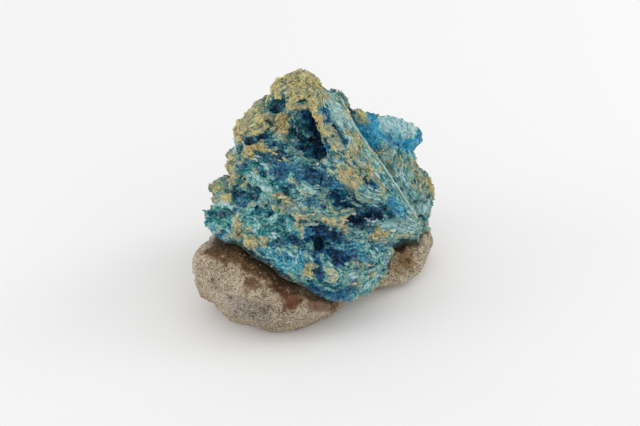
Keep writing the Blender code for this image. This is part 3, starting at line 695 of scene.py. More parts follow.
def fan_shares(points):
    """How far the crystals at each point belong to each of the fans."""
    right, back, high = points.T
    summit = smooth_step(*SUMMIT_HIGH, high - np.maximum(right, 0))
    rim = smooth_step(*RIM_HIGH, high + 0.35 * right)
    rim = rim * smooth_step(*RIM_RIGHT, right) * smooth_step(*RIM_BACK, back)
    return np.stack((summit, 1 - np.maximum(summit, rim), rim), axis=1)


def grain_of(points):
    """The direction in which the crystals have grown at each point."""
    arms = points[:, None] - np.array(FANS, float)
    away = arms / np.linalg.norm(arms, axis=2)[:, :, None]
    mixed = (away * fan_shares(points)[:, :, None]).sum(axis=1)
    return mixed / np.maximum(np.linalg.norm(mixed, axis=1), 1e-6)[:, None]


def lanes(points, width):
    """Places in a space where cells come out long and lie along the fans."""
    fan = fan_shares(points).argmax(axis=1)
    away = points - np.array(FANS, float)[fan]
    reach = np.maximum(np.linalg.norm(away, axis=1), 1)[:, None]
    drawn_out = np.array(FAN_STRETCH)[fan][:, None]
    return away / reach * FAN_REACH / width + away / (drawn_out * width) + fan[:, None] * FAN_SHIFT


def facets(place):
    """Height of flat chips that meet in steps: one tilted plane to each cell."""
    distances, centres = noise.voronoi(place)
    tilt = noise.noise_vector(centres[0] * 5.3)
    level = noise.noise(centres[0] * 3.1)
    crack = min(1.0, (distances[1] - distances[0]) * 7)
    return (level + 0.9 * tilt.dot(place - centres[0])) * crack - 0.2 * (1 - crack)


def knobs(place):
    """Height of rounded grains that lie close together, from 0 between them to 1 on top."""
    return max(0.0, 1 - (noise.voronoi(place)[0][0] / 0.75) ** 2)


def nicks(place):
    """0 at most places, and up to 1 in the middle of scattered pits."""
    distances, centres = noise.voronoi(place)
    if noise.cell(centres[0] * 9.7) < 0.1:
        return 0.0
    return max(0.0, 1 - distances[0] / 0.45) ** 0.5


# ---------------------------------------------------------------- settings


def length(name, description, millimetres):
    """A length that the user can set."""
    kind = {"unit": "LENGTH", "subtype": "DISTANCE"}
    return FloatProperty(name=name, description=description, default=millimetres * MM, min=0, **kind)


def colour(name, description, red, green, blue):
    """A colour that the user can set."""
    kind = {"min": 0, "max": 1, "size": 3, "subtype": "COLOR"}
    return FloatVectorProperty(name=name, description=description, default=(red, green, blue), **kind)


def whole(name, description, value, least=0):
    """A whole number that the user can set."""
    return IntProperty(name=name, description=description, default=value, min=least)


def strength(name, description, value):
    """A light's strength that the user can set."""
    return FloatProperty(name=name, description=description, default=value, min=0)


class CrystalSettings(bpy.types.PropertyGroup):
    """The blue crystals."""

    grid: length("Surface grid", "Spacing of the points on the crystals' skin", 0.42)
    relief_seed: whole("Relief seed", "Picks one of many alike reliefs", 4, least=1)
    mass_size: length("Mass size", "Size of the broad masses that the surface steps between", 4.6)
    mass_height: length("Mass height", "Step from one mass to the next", 0.9)
    blade_width: length("Blade width", "Width of the long crystals that fan out", 2.6)
    blade_height: length("Blade height", "How far the long crystals stand out", 0.9)
    fibre_width: length("Fibre width", "Width of the fine fibres on them", 0.8)
    fibre_height: length("Fibre height", "How far the fibres stand out", 0.26)
    chip_size: length("Chip size", "Size of the flat chips between them", 1.7)
    chip_height: length("Chip height", "Step from one chip to the next", 0.6)
    lump_size: length("Lump size", "Width of the rear cluster's smooth lumps", 3.4)
    lump_height: length("Lump height", "How far the lumps stand out", 0.9)
    nick_size: length("Nick size", "Spacing of the scattered pits", 3.0)
    nick_depth: length("Nick depth", "Depth of the scattered pits", 1.3)
    block_count: whole("Blocks", "Small crystals on the skin", 3600)
    blade_count: whole("Blades", "Thin blades on the slab and ledges", 2200)
    # Navy is also the painted shade at the bottom of the tone ramps, in the deepest hollows
    navy: colour("Navy", "Deepest hollows", 0.002, 0.022, 0.055)
    royal: colour("Royal blue", "Clear faces in the hollows", 0.004, 0.09, 0.26)
    teal: colour("Teal", "Most of the crystals", 0.012, 0.21, 0.28)
    sea: colour("Sea green", "Greener crystals", 0.085, 0.38, 0.34)
    # Pale is also painted light on the lit flank and on painted glints
    pale: colour("Pale blue", "Weathered faces", 0.54, 0.74, 0.72)
    leaf: colour("Leaf green", "Green spots", 0.010, 0.285, 0.175)
    lilac: colour("Lilac grey", "Greyish streaks", 0.27, 0.36, 0.44)
    azure: colour("Azure", "The rear cluster", 0.008, 0.26, 0.46)
    # The clear blue is a painted glow of light through the crystals
    clear: colour("Clear blue", "Where light passes through the crystals", 0.010, 0.36, 0.60)
    cyan: colour("Cyan", "The rim above the rock", 0.03, 0.38, 0.47)


class CrustSettings(bpy.types.PropertyGroup):
    """The tan crust on the crystals' high spots."""

    knob_size: length("Knob size", "Width of the rounded knobs in the crust", 1.25)
    knob_height: length("Knob height", "How far the knobs stand out", 0.42)
    grain_count: whole("Grains", "Grains of crust", 9000)
    grain_size: length("Grain size", "Width of a grain", 0.5)
    # The foot colour is painted shade where the crystals meet the rock
    foot: colour("Foot", "Where the crystals meet the rock", 0.035, 0.035, 0.025)
    # Umber also takes the painted shade in the crust's hollows
    umber: colour("Umber", "Gaps in the crust", 0.10, 0.13, 0.08)
    ochre: colour("Ochre", "Rusty grains", 0.55, 0.28, 0.08)
    olive: colour("Olive tan", "Most of the crust", 0.40, 0.385, 0.19)
    gilt: colour("Yellow", "Where the crust is thickest", 0.78, 0.68, 0.27)
    cream: colour("Cream", "Pale grains", 0.70, 0.63, 0.42)
    rose: colour("Rose tan", "Pinkish grains", 0.46, 0.35, 0.28)
    verdigris: colour("Verdigris", "Grey-green grains", 0.17, 0.37, 0.30)


class RockSettings(bpy.types.PropertyGroup):
    """The matrix rock."""

    grid: length("Surface grid", "Spacing of the points on the rock's skin", 0.42)
    relief_seed: whole("Relief seed", "Picks one of many alike reliefs", 4, least=1)
    lump_height: length("Lump height", "How far the low lumps stand out", 0.5)
    rough_height: length("Rough height", "Steps of the broken rock on the right", 1.15)
    grain_relief: length("Grain relief", "Height of the grain in the skin", 0.18)
    grain_count: whole("Grains", "Loose grains on the skin", 9400)
    grain_size: length("Grain size", "Width of a grain", 0.42)
    shade: colour("Shade", "Gaps between the grains", 0.10, 0.078, 0.055)
    sand: colour("Sand", "Most of the rock", 0.35, 0.27, 0.178)
    quartz: colour("Quartz", "Pale grains", 0.72, 0.64, 0.49)
    grey: colour("Grey", "The greyer patches", 0.42, 0.385, 0.34)
    dark_grey: colour("Dark grey", "Gaps in the greyer patches", 0.055, 0.05, 0.045)
    amber: colour("Amber", "The band's lower edge", 0.26, 0.115, 0.028)
    stain: colour("Stain", "The glossy band below the crystals", 0.165, 0.062, 0.01)
    dark_stain_and_shade: colour("Dark stain", "The band's deepest part", 0.024, 0.015, 0.005)
    # The dark stain colour is also the painted shade in the lobe's gaps and at the contact with the
    # crystals
    rust: colour("Rust", "The red-brown patches", 0.155, 0.044, 0.014)
    gold: colour("Gold", "The golden patch on the right", 0.44, 0.31, 0.13)


class StageSettings(bpy.types.PropertyGroup):
    """Floor, light and camera."""

    floor_colour: colour("Floor", "The plain pale floor", 0.88, 0.88, 0.88)
    key_power: strength("Key light", "Power of the light at the upper right", 0.95)
    fill_power: strength("Fill light", "Power of the low light at the left", 0.6)
    sky: strength("Sky", "Strength of the light from all round", 0.9)
    lens: FloatProperty(name="Lens", description="Focal length in millimetres", default=85.0, min=1)
    elevation: FloatProperty(
        name="Elevation", description="Angle above the horizon", default=math.radians(33), subtype="ANGLE"
    )
    distance: length("Distance", "From the camera to the point it looks at", 433)


# ---------------------------------------------------------------- scattering


def hull_shape(name, corners):
    """A small closed shape around its corners, which are in millimetres."""
    bm = bmesh.new()
    for corner in corners:
        bm.verts.new(Vector(corner) * MM)
    bmesh.ops.convex_hull(bm, input=bm.verts)
    return mesh_from(bm, name)


def block_shape(name, length_ratio, lean, seed):
    """A small leaning crystal with cut ends, one millimetre wide and lying along X."""
    chance = random.Random(seed)
    corners = []
    for end in (-1, 1):
        for side, top in ((-1, -1), (1, -1), (1, 1), (-1, 1)):
            reach = end * length_ratio / 2 + lean * side
            corners.append((reach + chance.uniform(-0.15, 0.15), side * 0.5, top * 0.42))
        corners.append((end * (length_ratio / 2 + 0.35), chance.uniform(-0.3, 0.3), 0.1))
    return hull_shape(name, corners)


def blade_shape(name, length_ratio, seed):
    """A thin blade with pointed ends, one millimetre wide and lying along X."""
    chance = random.Random(seed)
    corners = []
    for end in (-1, 1):
        for side, top in ((-1, -0.2), (0.2, 0.55), (1, -0.1)):
            corners.append((end * length_ratio / 2 * chance.uniform(0.75, 1.0), side * 0.5, top))
        corners.append((end * length_ratio / 2 * 1.15, chance.uniform(-0.2, 0.2), 0))
    return hull_shape(name, corners)


def grain_shape(name, seed, flatness=1.0):
    """A rough grain, one millimetre wide, and as high as its flatness says."""
    chance = random.Random(seed)
    bm = bmesh.new()
    bmesh.ops.create_icosphere(bm, subdivisions=1, radius=0.5 * MM)
    for vertex in bm.verts:
        vertex.co *= chance.uniform(0.7, 1.25)
        vertex.co.z *= flatness
    bmesh.ops.convex_hull(bm, input=bm.verts)
    return mesh_from(bm, name)


def add_prism(bm, place, along, width, reach, chance):
    """Adds a slim six-sided crystal with pointed ends, in millimetres, lying along a direction."""
    turn = along.to_track_quat("X", "Z")
    made = []
    for end in (-1, 1):
        for step in range(6):
            angle = math.tau * step / 6
            round_it = Vector((0, math.cos(angle), math.sin(angle))) * width / 2
            round_it.x = end * reach / 2 * chance.uniform(0.8, 0.95)
            made.append(bm.verts.new((place + turn @ round_it) * MM))
        made.append(bm.verts.new((place + turn @ Vector((end * reach / 2, 0, 0))) * MM))
    bmesh.ops.convex_hull(bm, input=made)


SCATTER_INPUTS = (
    ("Shapes", "NodeSocketCollection"),
    ("Per Square Metre", "NodeSocketFloat"),
    ("Smallest", "NodeSocketFloat"),
    ("Largest", "NodeSocketFloat"),
    ("Sink", "NodeSocketFloat"),
    ("Tilt", "NodeSocketFloat"),
    ("Seed", "NodeSocketInt"),
    ("Material", "NodeSocketMaterial"),
)


def scatter_group():
    """Sets copies of small shapes on a skin, laid along its grain, where its 'room' attribute lets them."""
    group = bpy.data.node_groups.new("scatter", "GeometryNodeTree")
    group.interface.new_socket("Geometry", in_out="INPUT", socket_type="NodeSocketGeometry")
    for name, kind in SCATTER_INPUTS:
        group.interface.new_socket(name, in_out="INPUT", socket_type=kind)
    group.interface.new_socket("Geometry", in_out="OUTPUT", socket_type="NodeSocketGeometry")
    tree = Tree(group)
    given = tree.add("NodeGroupInput")
    seed = given.out("Seed")

    def named(name, kind="FLOAT"):
        """What the skin keeps under a name."""
        return tree.add("GeometryNodeInputNamedAttribute", {"data_type": kind}, {"Name": name})

    def chance(kind, low, high, step):
        """A random value for each copy, unlike those of the other steps."""
        shifted = seed * 7.0 + step
        names = {"Min": low, "Max": high} if kind == "FLOAT_VECTOR" else {2: low, 3: high}
        output = "Value" if kind == "FLOAT_VECTOR" else 1
        return tree.add("FunctionNodeRandomValue", {"data_type": kind}, {**names, "Seed": shifted}, output)

    density = given.out("Per Square Metre") * named("room")
    spots = tree.add(
        "GeometryNodeDistributePointsOnFaces",
        {"distribute_method": "RANDOM"},
        {"Mesh": given.out("Geometry"), "Density": density, "Seed": seed},
    )
    up, grain = named("up", "FLOAT_VECTOR"), named("grain", "FLOAT_VECTOR")
    upright = tree.add("FunctionNodeAlignRotationToVector", {"axis": "Z"}, {"Vector": up})
    along = tree.add(
        "FunctionNodeAlignRotationToVector",
        {"axis": "X", "pivot_axis": "Z"},
        {"Rotation": upright, "Vector": grain},
    )
    tilt = chance("FLOAT_VECTOR", (-1, -1, -1), (1, 1, 1), 1) * given.out("Tilt")
    turned = tree.add("FunctionNodeRotateRotation", {"rotation_space": "LOCAL"}, {0: along, 1: tilt})
    size = chance("FLOAT", 0.0, 1.0, 2) ** 1.6 * (given.out("Largest") - given.out("Smallest"))
    size = size + given.out("Smallest")
    sunk = tree.add(
        "GeometryNodeSetPosition",
        None,
        {"Geometry": spots, "Offset": spots.out("Normal") * (0 - given.out("Sink"))},
    )
    shapes = tree.add(
        "GeometryNodeCollectionInfo",
        {"transform_space": "ORIGINAL"},
        {"Collection": given.out("Shapes"), "Separate Children": True, "Reset Children": True},
    )
    copies = tree.add(
        "GeometryNodeInstanceOnPoints",
        None,
        {"Points": sunk, "Instance": shapes, "Pick Instance": True, "Rotation": turned, "Scale": size},
    )
    tinted = tree.add(
        "GeometryNodeStoreNamedAttribute",
        {"data_type": "FLOAT", "domain": "INSTANCE"},
        {"Geometry": copies, "Name": "tint", "Value": chance("FLOAT", 0.0, 1.0, 3)},
    )
    real = tree.add("GeometryNodeRealizeInstances", None, {"Geometry": tinted})
    made = tree.add("GeometryNodeSetMaterial", None, {"Geometry": real, "Material": given.out("Material")})
    tree.add("NodeGroupOutput", None, {"Geometry": made})
    return group


def scatter(skin, name, shapes, room, count, sizes, sink, tilt, seed, material):
    """Makes a piece of about so many small shapes, set on a skin where each vertex's room lets them."""
    store(skin.data, room=room)
    host = linked(name, skin.data.copy())
    crowd = bpy.data.collections.new(name + "_shapes")
    bpy.context.scene.collection.children.link(crowd)
    for shape in shapes:
        crowd.objects.link(bpy.data.objects.new(shape.name, shape))
    values = {
        "Shapes": crowd,
        "Per Square Metre": count / room_area(skin.data, room),
        "Smallest": sizes[0] / MM,
        "Largest": sizes[1] / MM,
        "Sink": sink * MM,
        "Tilt": tilt,
        "Seed": seed,
        "Material": material,
    }
    growth = host.modifiers.new("scatter", "NODES")
    growth.node_group = bpy.data.node_groups.get("scatter") or scatter_group()
    for item in growth.node_group.interface.items_tree:
        if item.name in values:
            growth[item.identifier] = values[item.name]
    bake_modifiers(host)
    for shape in list(crowd.objects):
        bpy.data.objects.remove(shape)
    bpy.data.collections.remove(crowd)
    finish(host, material)


def room_area(mesh, room):
    """The area of the skin, each face counted by its corners' mean room."""
    areas = np.empty(len(mesh.polygons))
    mesh.polygons.foreach_get("area", areas)
    starts = np.empty(len(mesh.polygons), np.int32)
    mesh.polygons.foreach_get("loop_start", starts)
    corners = np.empty(len(mesh.loops), np.int32)
    mesh.loops.foreach_get("vertex_index", corners)
    shares = np.add.reduceat(room[corners], starts) / np.diff(np.append(starts, len(corners)))
    return float((areas * shares).sum())


def finish(piece, material, replaced=None):
    """Gives a piece its material and its body, and hides the plain solid that it replaces."""
    piece.data.materials.clear()
    piece.data.materials.append(material)
    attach(piece, BODY)
    if replaced:
        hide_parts(replaced)


# ---------------------------------------------------------------- finishes


def place_in(tree):
    """Object coordinates in millimetres."""
    return tree.add("ShaderNodeTexCoord").out("Object") * (1 / MM)


def lanes_in(tree):
    """Places stretched along the crystals' grain, as the mesh keeps them."""
    return tree.attribute("lanes", "Vector")


def crystal_colour(tree, look, place, lane):
    """Blue to teal crystal, with painted shade in hollows, pits and near the rock, pale on weathered faces
    and as painted light on the lit flank, and with azure, cyan and clear zones, the clear ones a painted
    glow.
    """
    fine = tree.swing(place, 1.6, 4, 0.7)
    broad = tree.swing(place, 0.25, 3, 0.55)
    chip = tree.cells(lane, 1.1) - 0.5
    streaks = tree.swing(lane, 1.5, 5, 0.75)
    hollow = tree.attribute("hollow")
    royal = tree.attribute("royal")
    green = tree.attribute("green")
    spots = fine + chip * 0.6
    tint = tree.attribute("tint") - 0.5
    tone = 0.48 + fine * 1.8 + broad * 1.4 + streaks * 1.6 + chip * 0.9 + tint * 0.6
    # Painted shade: the hollows lower the tone here and below, and nearness to the rock lowers it too
    deep = tone * 0.8 - royal * 0.32 - hollow * 0.2
    tone = tone + tree.attribute("pale") * 0.63 - hollow * 0.4 - tree.attribute("contact") * 0.3
    tone = tone - green.ramp(0.6, 1.0) * 0.3

    def shades(factor, *stops):
        """A colour for each value of the factor, with the stops' colours given by name."""
        return tree.colours(factor, *((position, getattr(look, name)) for position, name in stops))

    blues = shades(tone, (0.0, "navy"), (0.22, "royal"), (0.45, "teal"), (0.66, "sea"), (0.98, "pale"))
    leafy = (tree.noise(place, 0.2, 5, 0.8) + spots * 0.3).ramp(0.41, 0.58)
    leaves = shades(tone, (0.1, "royal"), (0.5, "leaf"), (0.9, "pale"))
    blues = tree.blend(leafy * 0.85, blues, leaves)
    greyish = tree.noise(lane, 0.9, 4, 0.75) - spots * 0.3
    blues = tree.blend(greyish.ramp(0.56, 0.74) * 0.45, blues, look.lilac)
    greens = shades(tone + 0.06, (0.05, "navy"), (0.45, "leaf"), (0.62, "sea"), (1.0, "pale"))
    blues = tree.blend((green + spots * 0.8).ramp(0.3, 0.8) * 0.8, blues, greens)
    rims = shades(tone + 0.1, (0.15, "royal"), (0.4, "cyan"), (0.75, "cyan"), (1.0, "pale"))
    blues = tree.blend((tree.attribute("cyan") + spots).ramp(0.35, 0.8) * 0.85, blues, rims)
    # Painted shade in the royal zones: their colour runs down to navy with the hollows
    depths = shades(deep, (0.05, "navy"), (0.3, "royal"), (0.55, "teal"), (0.85, "lilac"))
    blues = tree.blend((royal + spots * 0.8).ramp(0.3, 0.7), blues, depths)
    skies = shades(tone * 0.7 + 0.17, (0.15, "royal"), (0.42, "azure"), (0.74, "cyan"), (1.0, "pale"))
    azure = (tree.attribute("azure") + spots * 0.5 - tree.attribute("pale") * 0.45).ramp(0.25, 0.7)
    blues = tree.blend(azure, blues, skies)
    # Painted glow of light through the crystals in the clear zones
    blues = tree.blend((tree.attribute("clear") + spots * 0.9).ramp(0.3, 1.0) * 0.85, blues, look.clear)
    names = ("navy", "royal", "leaf", "azure", "lilac", "pale")
    flecks = shades(tree.cells(place, 1.9), *((0.25 + 0.1 * step, name) for step, name in enumerate(names)))
    return tree.blend(0.22 - royal * 0.17, blues, flecks)


def crust_colour(tree, look, place, lane):
    """Granular tan crust, from umber in its gaps to cream, with rusty, pinkish and grey-green grains, and
    painted shade in its hollows.
    """
    grains = tree.swing(place, 2.4, 4, 0.75)
    tint = tree.attribute("tint") - 0.5
    hollow = tree.attribute("hollow")
    crust = tree.attribute("crust")
    chip = tree.cells(lane, 1.7) - 0.5
    # Painted shade: the crust's hollows are darkened towards umber
    tone = 0.47 + grains * 1.9 + tint * 0.6 + chip * 0.9 - hollow * 0.4
    tans = tree.colours(tone, (0.0, look.umber), (0.42, look.olive), (0.9, look.cream))
    thick = tree.colours(tone + 0.1, (0.1, look.umber), (0.45, look.gilt))
    tans = tree.blend(crust.ramp(0.72, 1.0) * 0.5, tans, thick)
    pinkish = tree.noise(place, 0.7, 4, 0.75) + chip * 0.3
    tans = tree.blend(pinkish.ramp(0.5, 0.7) * 0.6, tans, look.rose)
    rusty = tree.attribute("rust") * 0.3 + tree.swing(place, 1.1, 4, 0.8) * 2.0 + chip * 0.9
    tans = tree.blend(rusty.ramp(0.25, 0.6) * 0.8, tans, look.ochre)
    bluish = tree.swing(place, 0.7, 5, 0.85) * 2.8 - chip * 0.9 - tint * 0.7
    bluish = bluish + hollow * 0.3 - (crust - 0.68) * 1.7
    return tree.blend(bluish.ramp(0.0, 0.55) * 0.85, tans, look.verdigris)


def crystal_material(crystal, crust):
    """The crystals, with crust where the 'crust' attribute is high."""
    material, tree, shader = new_material("crystal_finish")
    place, lane = place_in(tree), lanes_in(tree)
    patches = tree.swing(place, 0.4, 4, 0.75) * 1.6
    patches = patches + tree.swing(place, 1.8, 5, 0.85) * 2.3
    patches = patches + tree.swing(lane, 1.2, 4, 0.8) * 0.6
    share = tree.attribute("crust")
    crusted = (share - 0.5 + patches).ramp(-0.3, 0.4) * share.ramp(0.0, 0.2)
    blues = crystal_colour(tree, crystal, place, lane)
    base = tree.blend(crusted, blues, crust_colour(tree, crust, place, lane))
    # Painted shade where the crystals meet the rock, in the foot colour
    foot = (tree.attribute("contact") + tree.swing(place, 1.3, 4, 0.8) * 1.6).ramp(0.4, 1.0)
    base = tree.blend(foot * 0.8, base, crust.foot)
    bump = tree.bump(tree.noise(place, 5.0, 3, 0.7), strength=0.7, distance=0.15)
    rough = 0.4 + crusted * 0.4 + (tree.cells(lane, 1.1) - 0.5) * 0.45
    glints = tree.cells(place, 1.6).ramp(0.58, 0.66) * (1 - crusted) * 0.6
    plug(
        tree,
        shader,
        {"Base Color": base, "Roughness": rough, "Coat Weight": glints, "Normal": bump},
        {"Specular IOR Level": 0.12, "Coat Roughness": 0.12},
    )
    return material


def crust_material(crust):
    """The loose grains of crust."""
    material, tree, shader = new_material("crust_finish")
    place, lane = place_in(tree), lanes_in(tree)
    bump = tree.bump(tree.noise(place, 7.0, 3, 0.7), strength=0.6, distance=0.1)
    plug(
        tree,
        shader,
        {"Base Color": crust_colour(tree, crust, place, lane), "Normal": bump},
        {"Roughness": 0.82, "Specular IOR Level": 0.1},
    )
    return material


def rock_material(rock):
    """Sandy rock with a glossy dark band, rusty patches and a golden patch, with painted shade in its
    hollows, gaps and at the crystals, painted light on the rough lobe and painted glints on the band.
    """
    material, tree, shader = new_material("rock_finish")
    place = place_in(tree)
    grains = tree.swing(place, 2.3, 5, 0.95)
    broad = tree.swing(place, 0.12, 3, 0.55)
    speckle = tree.cells(place, 4.2) - 0.5
    drips = tree.swing(place, 0.35, 4, 0.7) * 1.5
    rough, hollow, stain = (tree.attribute(name) for name in ("rough", "hollow", "stain"))
    # Painted light on the rough lobe: its tone is raised and its grains' contrast doubled, for its lit
    # lumps and their highlights
    tone = 0.53 + rough * 0.36 + (grains * 1.6 + speckle * 1.2) * (1 + rough) + broad * 0.9
    # Painted shade: the rock's hollows are darkened
    tone = tone + (tree.attribute("tint") - 0.5) * 0.3 - hollow * 0.25
    sands = tree.colours(tone, (0.08, rock.shade), (0.45, rock.sand), (0.92, rock.quartz))
    greys = tree.colours(tone - 0.03, (0.12, rock.dark_grey), (0.8, rock.grey))
    base = tree.blend((tree.attribute("grey") + broad + speckle * 0.8).ramp(0.2, 1.1) * 0.7, sands, greys)
    # Painted shade in the rough lobe's gaps, darkest in its hollows, in the dark stain's colour
    broken = 0.1 + hollow * 0.7 + tree.swing(place, 0.6, 5, 0.8) * 3.0
    base = tree.blend(broken.ramp(0.5, 0.9) * rough * 0.8, base, rock.dark_stain_and_shade)
    golden = (tree.attribute("gold") + grains * 2 + speckle).ramp(0.4, 1.2)
    base = tree.blend(golden * 0.7, base, rock.gold)
    wet = (stain + drips * 0.7 + speckle * 0.9 + grains * 0.9).ramp(0.15, 1.0)
    base = tree.blend(wet * 0.88, base, tree.colours(wet, (0.35, rock.amber), (0.95, rock.stain)))
    rusty = (tree.attribute("rust") + grains + speckle).ramp(0.15, 0.85)
    base = tree.blend(rusty * 0.85, base, rock.rust)
    # A real dark stain along the band, and painted shade where the rock meets the crystals
    deep = stain * 0.6 + tree.attribute("contact") * 0.8 + drips * 0.6 + speckle * 0.7 + grains * 0.5
    base = tree.blend(deep.ramp(0.25, 0.85) * 0.9, base, rock.dark_stain_and_shade)
    # Painted glints: pale flecks in quartz colour on the wet band, standing in for highlights
    glints = wet * tree.cells(place * (1, 1, 1.6), 3.2).ramp(0.78, 0.84)
    glints = glints * tree.noise(place, 0.45, 3, 0.6).ramp(0.52, 0.6) * 0.6
    base = tree.blend(glints, base, rock.quartz)
    gloss = wet * (tree.noise(place, 0.9, 4, 0.7) + speckle * 0.2).ramp(0.5, 0.62)
    bump = tree.bump(tree.noise(place, 3.0, 4, 0.8), strength=0.9, distance=0.2)
    plug(
        tree,
        shader,
        {"Base Color": base, "Coat Weight": gloss, "Normal": bump},
        {"Roughness": 0.85, "Specular IOR Level": 0.15, "Coat Roughness": 0.18},
    )
    return material


# ---------------------------------------------------------------- pieces


def chosen():
    """The values that the user sets in the sidebar."""
    return bpy.context.scene.specimen


def shared_material(name, make, *groups):
    """A material that is made when a piece first needs it."""
    return bpy.data.materials.get(name) or make(*groups)


def surface_of(mesh):
    """A search tree of the mesh's faces."""
    return BVHTree.FromPolygons(
        [vertex.co for vertex in mesh.vertices], [polygon.vertices[:] for polygon in mesh.polygons]
    )


def start_skin(node, other_node, name, look, rounds):
    """A finely meshed copy of a solid, its vertices' places, and how far each lies from the other solid."""
    noise.seed_set(look.relief_seed)
    skin = refine(welded_copy(node, name), look.grid)
    mesh = skin.data
    store(mesh, up=relax(read_vectors(mesh.vertex_normals, "vector"), edge_ends(mesh), rounds))
    other = surface_of(frame["nodes"][other_node].data)
    gaps = np.array([other.find_nearest(vertex.co)[3] for vertex in mesh.vertices]) / MM
    return skin, table_points(mesh), gaps


def move_out(mesh, heights):
    """Moves each vertex along the skin's softened normal by its height in millimetres."""
    ends = edge_ends(mesh)
    normals = relax(read_vectors(mesh.vertex_normals, "vector"), ends, 2)
    normals /= np.maximum(np.linalg.norm(normals, axis=1), 1e-6)[:, None]
    points = read_vectors(mesh.vertices, "co") + normals * heights[:, None] * MM
    mesh.vertices.foreach_set("co", points.astype(np.float32).ravel())
    mesh.update()


def hollows(mesh, rounds):
    """How far each vertex lies below the skin as it looks when smoothed, in millimetres."""
    points = read_vectors(mesh.vertices, "co") / MM
    soft = relax(points, edge_ends(mesh), rounds)
    return ((soft - points) * read_vectors(mesh.vertex_normals, "vector")).sum(axis=1)


class SPECIMEN_OT_crystal_skin(bpy.types.Operator):
    """Make the blue crystals' skin, with its blades, chips and pits"""

    bl_idname = "specimen.crystal_skin"
    bl_label = "Crystal Skin"

    def execute(self, context):
        look, crust = chosen().crystal, chosen().crust
        skin, places, gaps = start_skin(MASS_NODE, ROCK_NODE, "crystal_skin", look, rounds=12)
        mesh = skin.data
        free = smooth_step(*FREE_GAP, gaps)
        frayed = places + each(fray, places)
        zones = {name: near_spots(frayed, spots) for name, spots in CRYSTAL_ZONES.items()}
        lumpy = zones["azure"]
        greenest = 0.6 * np.clip(zones["green"] - 0.7, 0, 0.3) / 0.3
        calm = (1 - 0.85 * lumpy) * (1 - 0.5 * near_spots(places, BLADE_ZONES)) * (1 - greenest)
        masses = each(facets, frayed / (look.mass_size / MM))
        chips = each(facets, frayed / (look.chip_size / MM))
        blades = each(facets, lanes(places, look.blade_width / MM))
        fibres = each(facets, lanes(places, look.fibre_width / MM))
        heights = (
            masses * look.mass_height / MM * calm
            + blades * look.blade_height / MM * calm
            + fibres * look.fibre_height / MM * calm
            + chips * look.chip_height / MM * calm
            + relief(knobs, frayed, look.lump_size, look.lump_height) * lumpy
            + relief(knobs, places, look.lump_size * 0.4, look.lump_height * 0.4) * lumpy
            + relief(knobs, frayed, crust.knob_size, crust.knob_height) * zones["crust"]
            + relief(knobs, places, crust.knob_size * 0.5, crust.knob_height * 0.5) * zones["crust"]
            - near_spots(frayed, PITS, 0.35, 1.25)
            - relief(nicks, frayed, look.nick_size, look.nick_depth) * calm
        )
        move_out(mesh, heights * free)
        # The hollows found here darken the colour as painted shade, and keep the crust off them
        small = hollows(mesh, SMALL_HOLLOWS)
        large = hollows(mesh, LARGE_HOLLOWS)
        hollow = smooth_step(*SMALL_DEPTH, small) * 0.55 + smooth_step(*LARGE_DEPTH, large) * 0.6
        proud = smooth_step(*PROUD_DEPTH, small)
        zones["crust"] = 0.33 + zones["crust"] * 0.58 + 0.35 * proud - hollow * 0.7 - zones["azure"] * 0.5
        zones["crust"] = zones["crust"] - 0.9 * zones["royal"] - zones["green"] - 0.3 * zones["cyan"]
        store_zones(mesh, zones)
        store(
            mesh,
            hollow=np.clip(hollow, 0, 1),
            # contact drives the painted shade where the crystals meet the rock
            contact=smooth_step(*CRYSTAL_CONTACT, gaps),
            tint=np.clip(0.5 + 0.4 * chips + 0.5 * masses, 0, 1),
            free=free,
            lanes=lanes(places, 1.0),
            grain=grain_of(places),
        )
        finish(skin, shared_material("crystal_finish", crystal_material, look, crust), MASS_NODE)
        return {"FINISHED"}


class SPECIMEN_OT_slab_edge(bpy.types.Operator):
    """Make the row of pale crystals along the slab's straight edge"""

    bl_idname = "specimen.slab_edge"
    bl_label = "Slab Edge"

    def execute(self, context):
        chance = random.Random(21)
        bm = bmesh.new()
        path = [Vector(point) - TABLE_ORIGIN for point in EDGE_PATH]
        for start, end in zip(path, path[1:]):
            reach = 0.0
            while reach < (end - start).length:
                crystal_length = chance.uniform(*EDGE_LENGTH)
                place = start + (end - start).normalized() * reach
                width = EDGE_WIDTH * chance.uniform(0.75, 1.2)
                add_prism(bm, place, end - start, width, crystal_length, chance)
                reach += crystal_length * EDGE_STEP
        mesh = mesh_from(bm, "slab_edge")
        piece = linked("slab_edge", mesh)
        places = table_points(mesh)
        # The row's crystals are pale, and their high tint is a painted highlight along the ridge
        store(
            mesh,
            pale=np.ones(len(places)),
            crust=each(lambda place: 0.45 + 0.5 * noise.noise(place / 3), places),
            tint=each(lambda place: 0.85 + 0.3 * noise.noise(place / 2), places),
            lanes=lanes(places, 1.0),
        )
        finish(piece, bpy.data.materials["crystal_finish"])
        return {"FINISHED"}


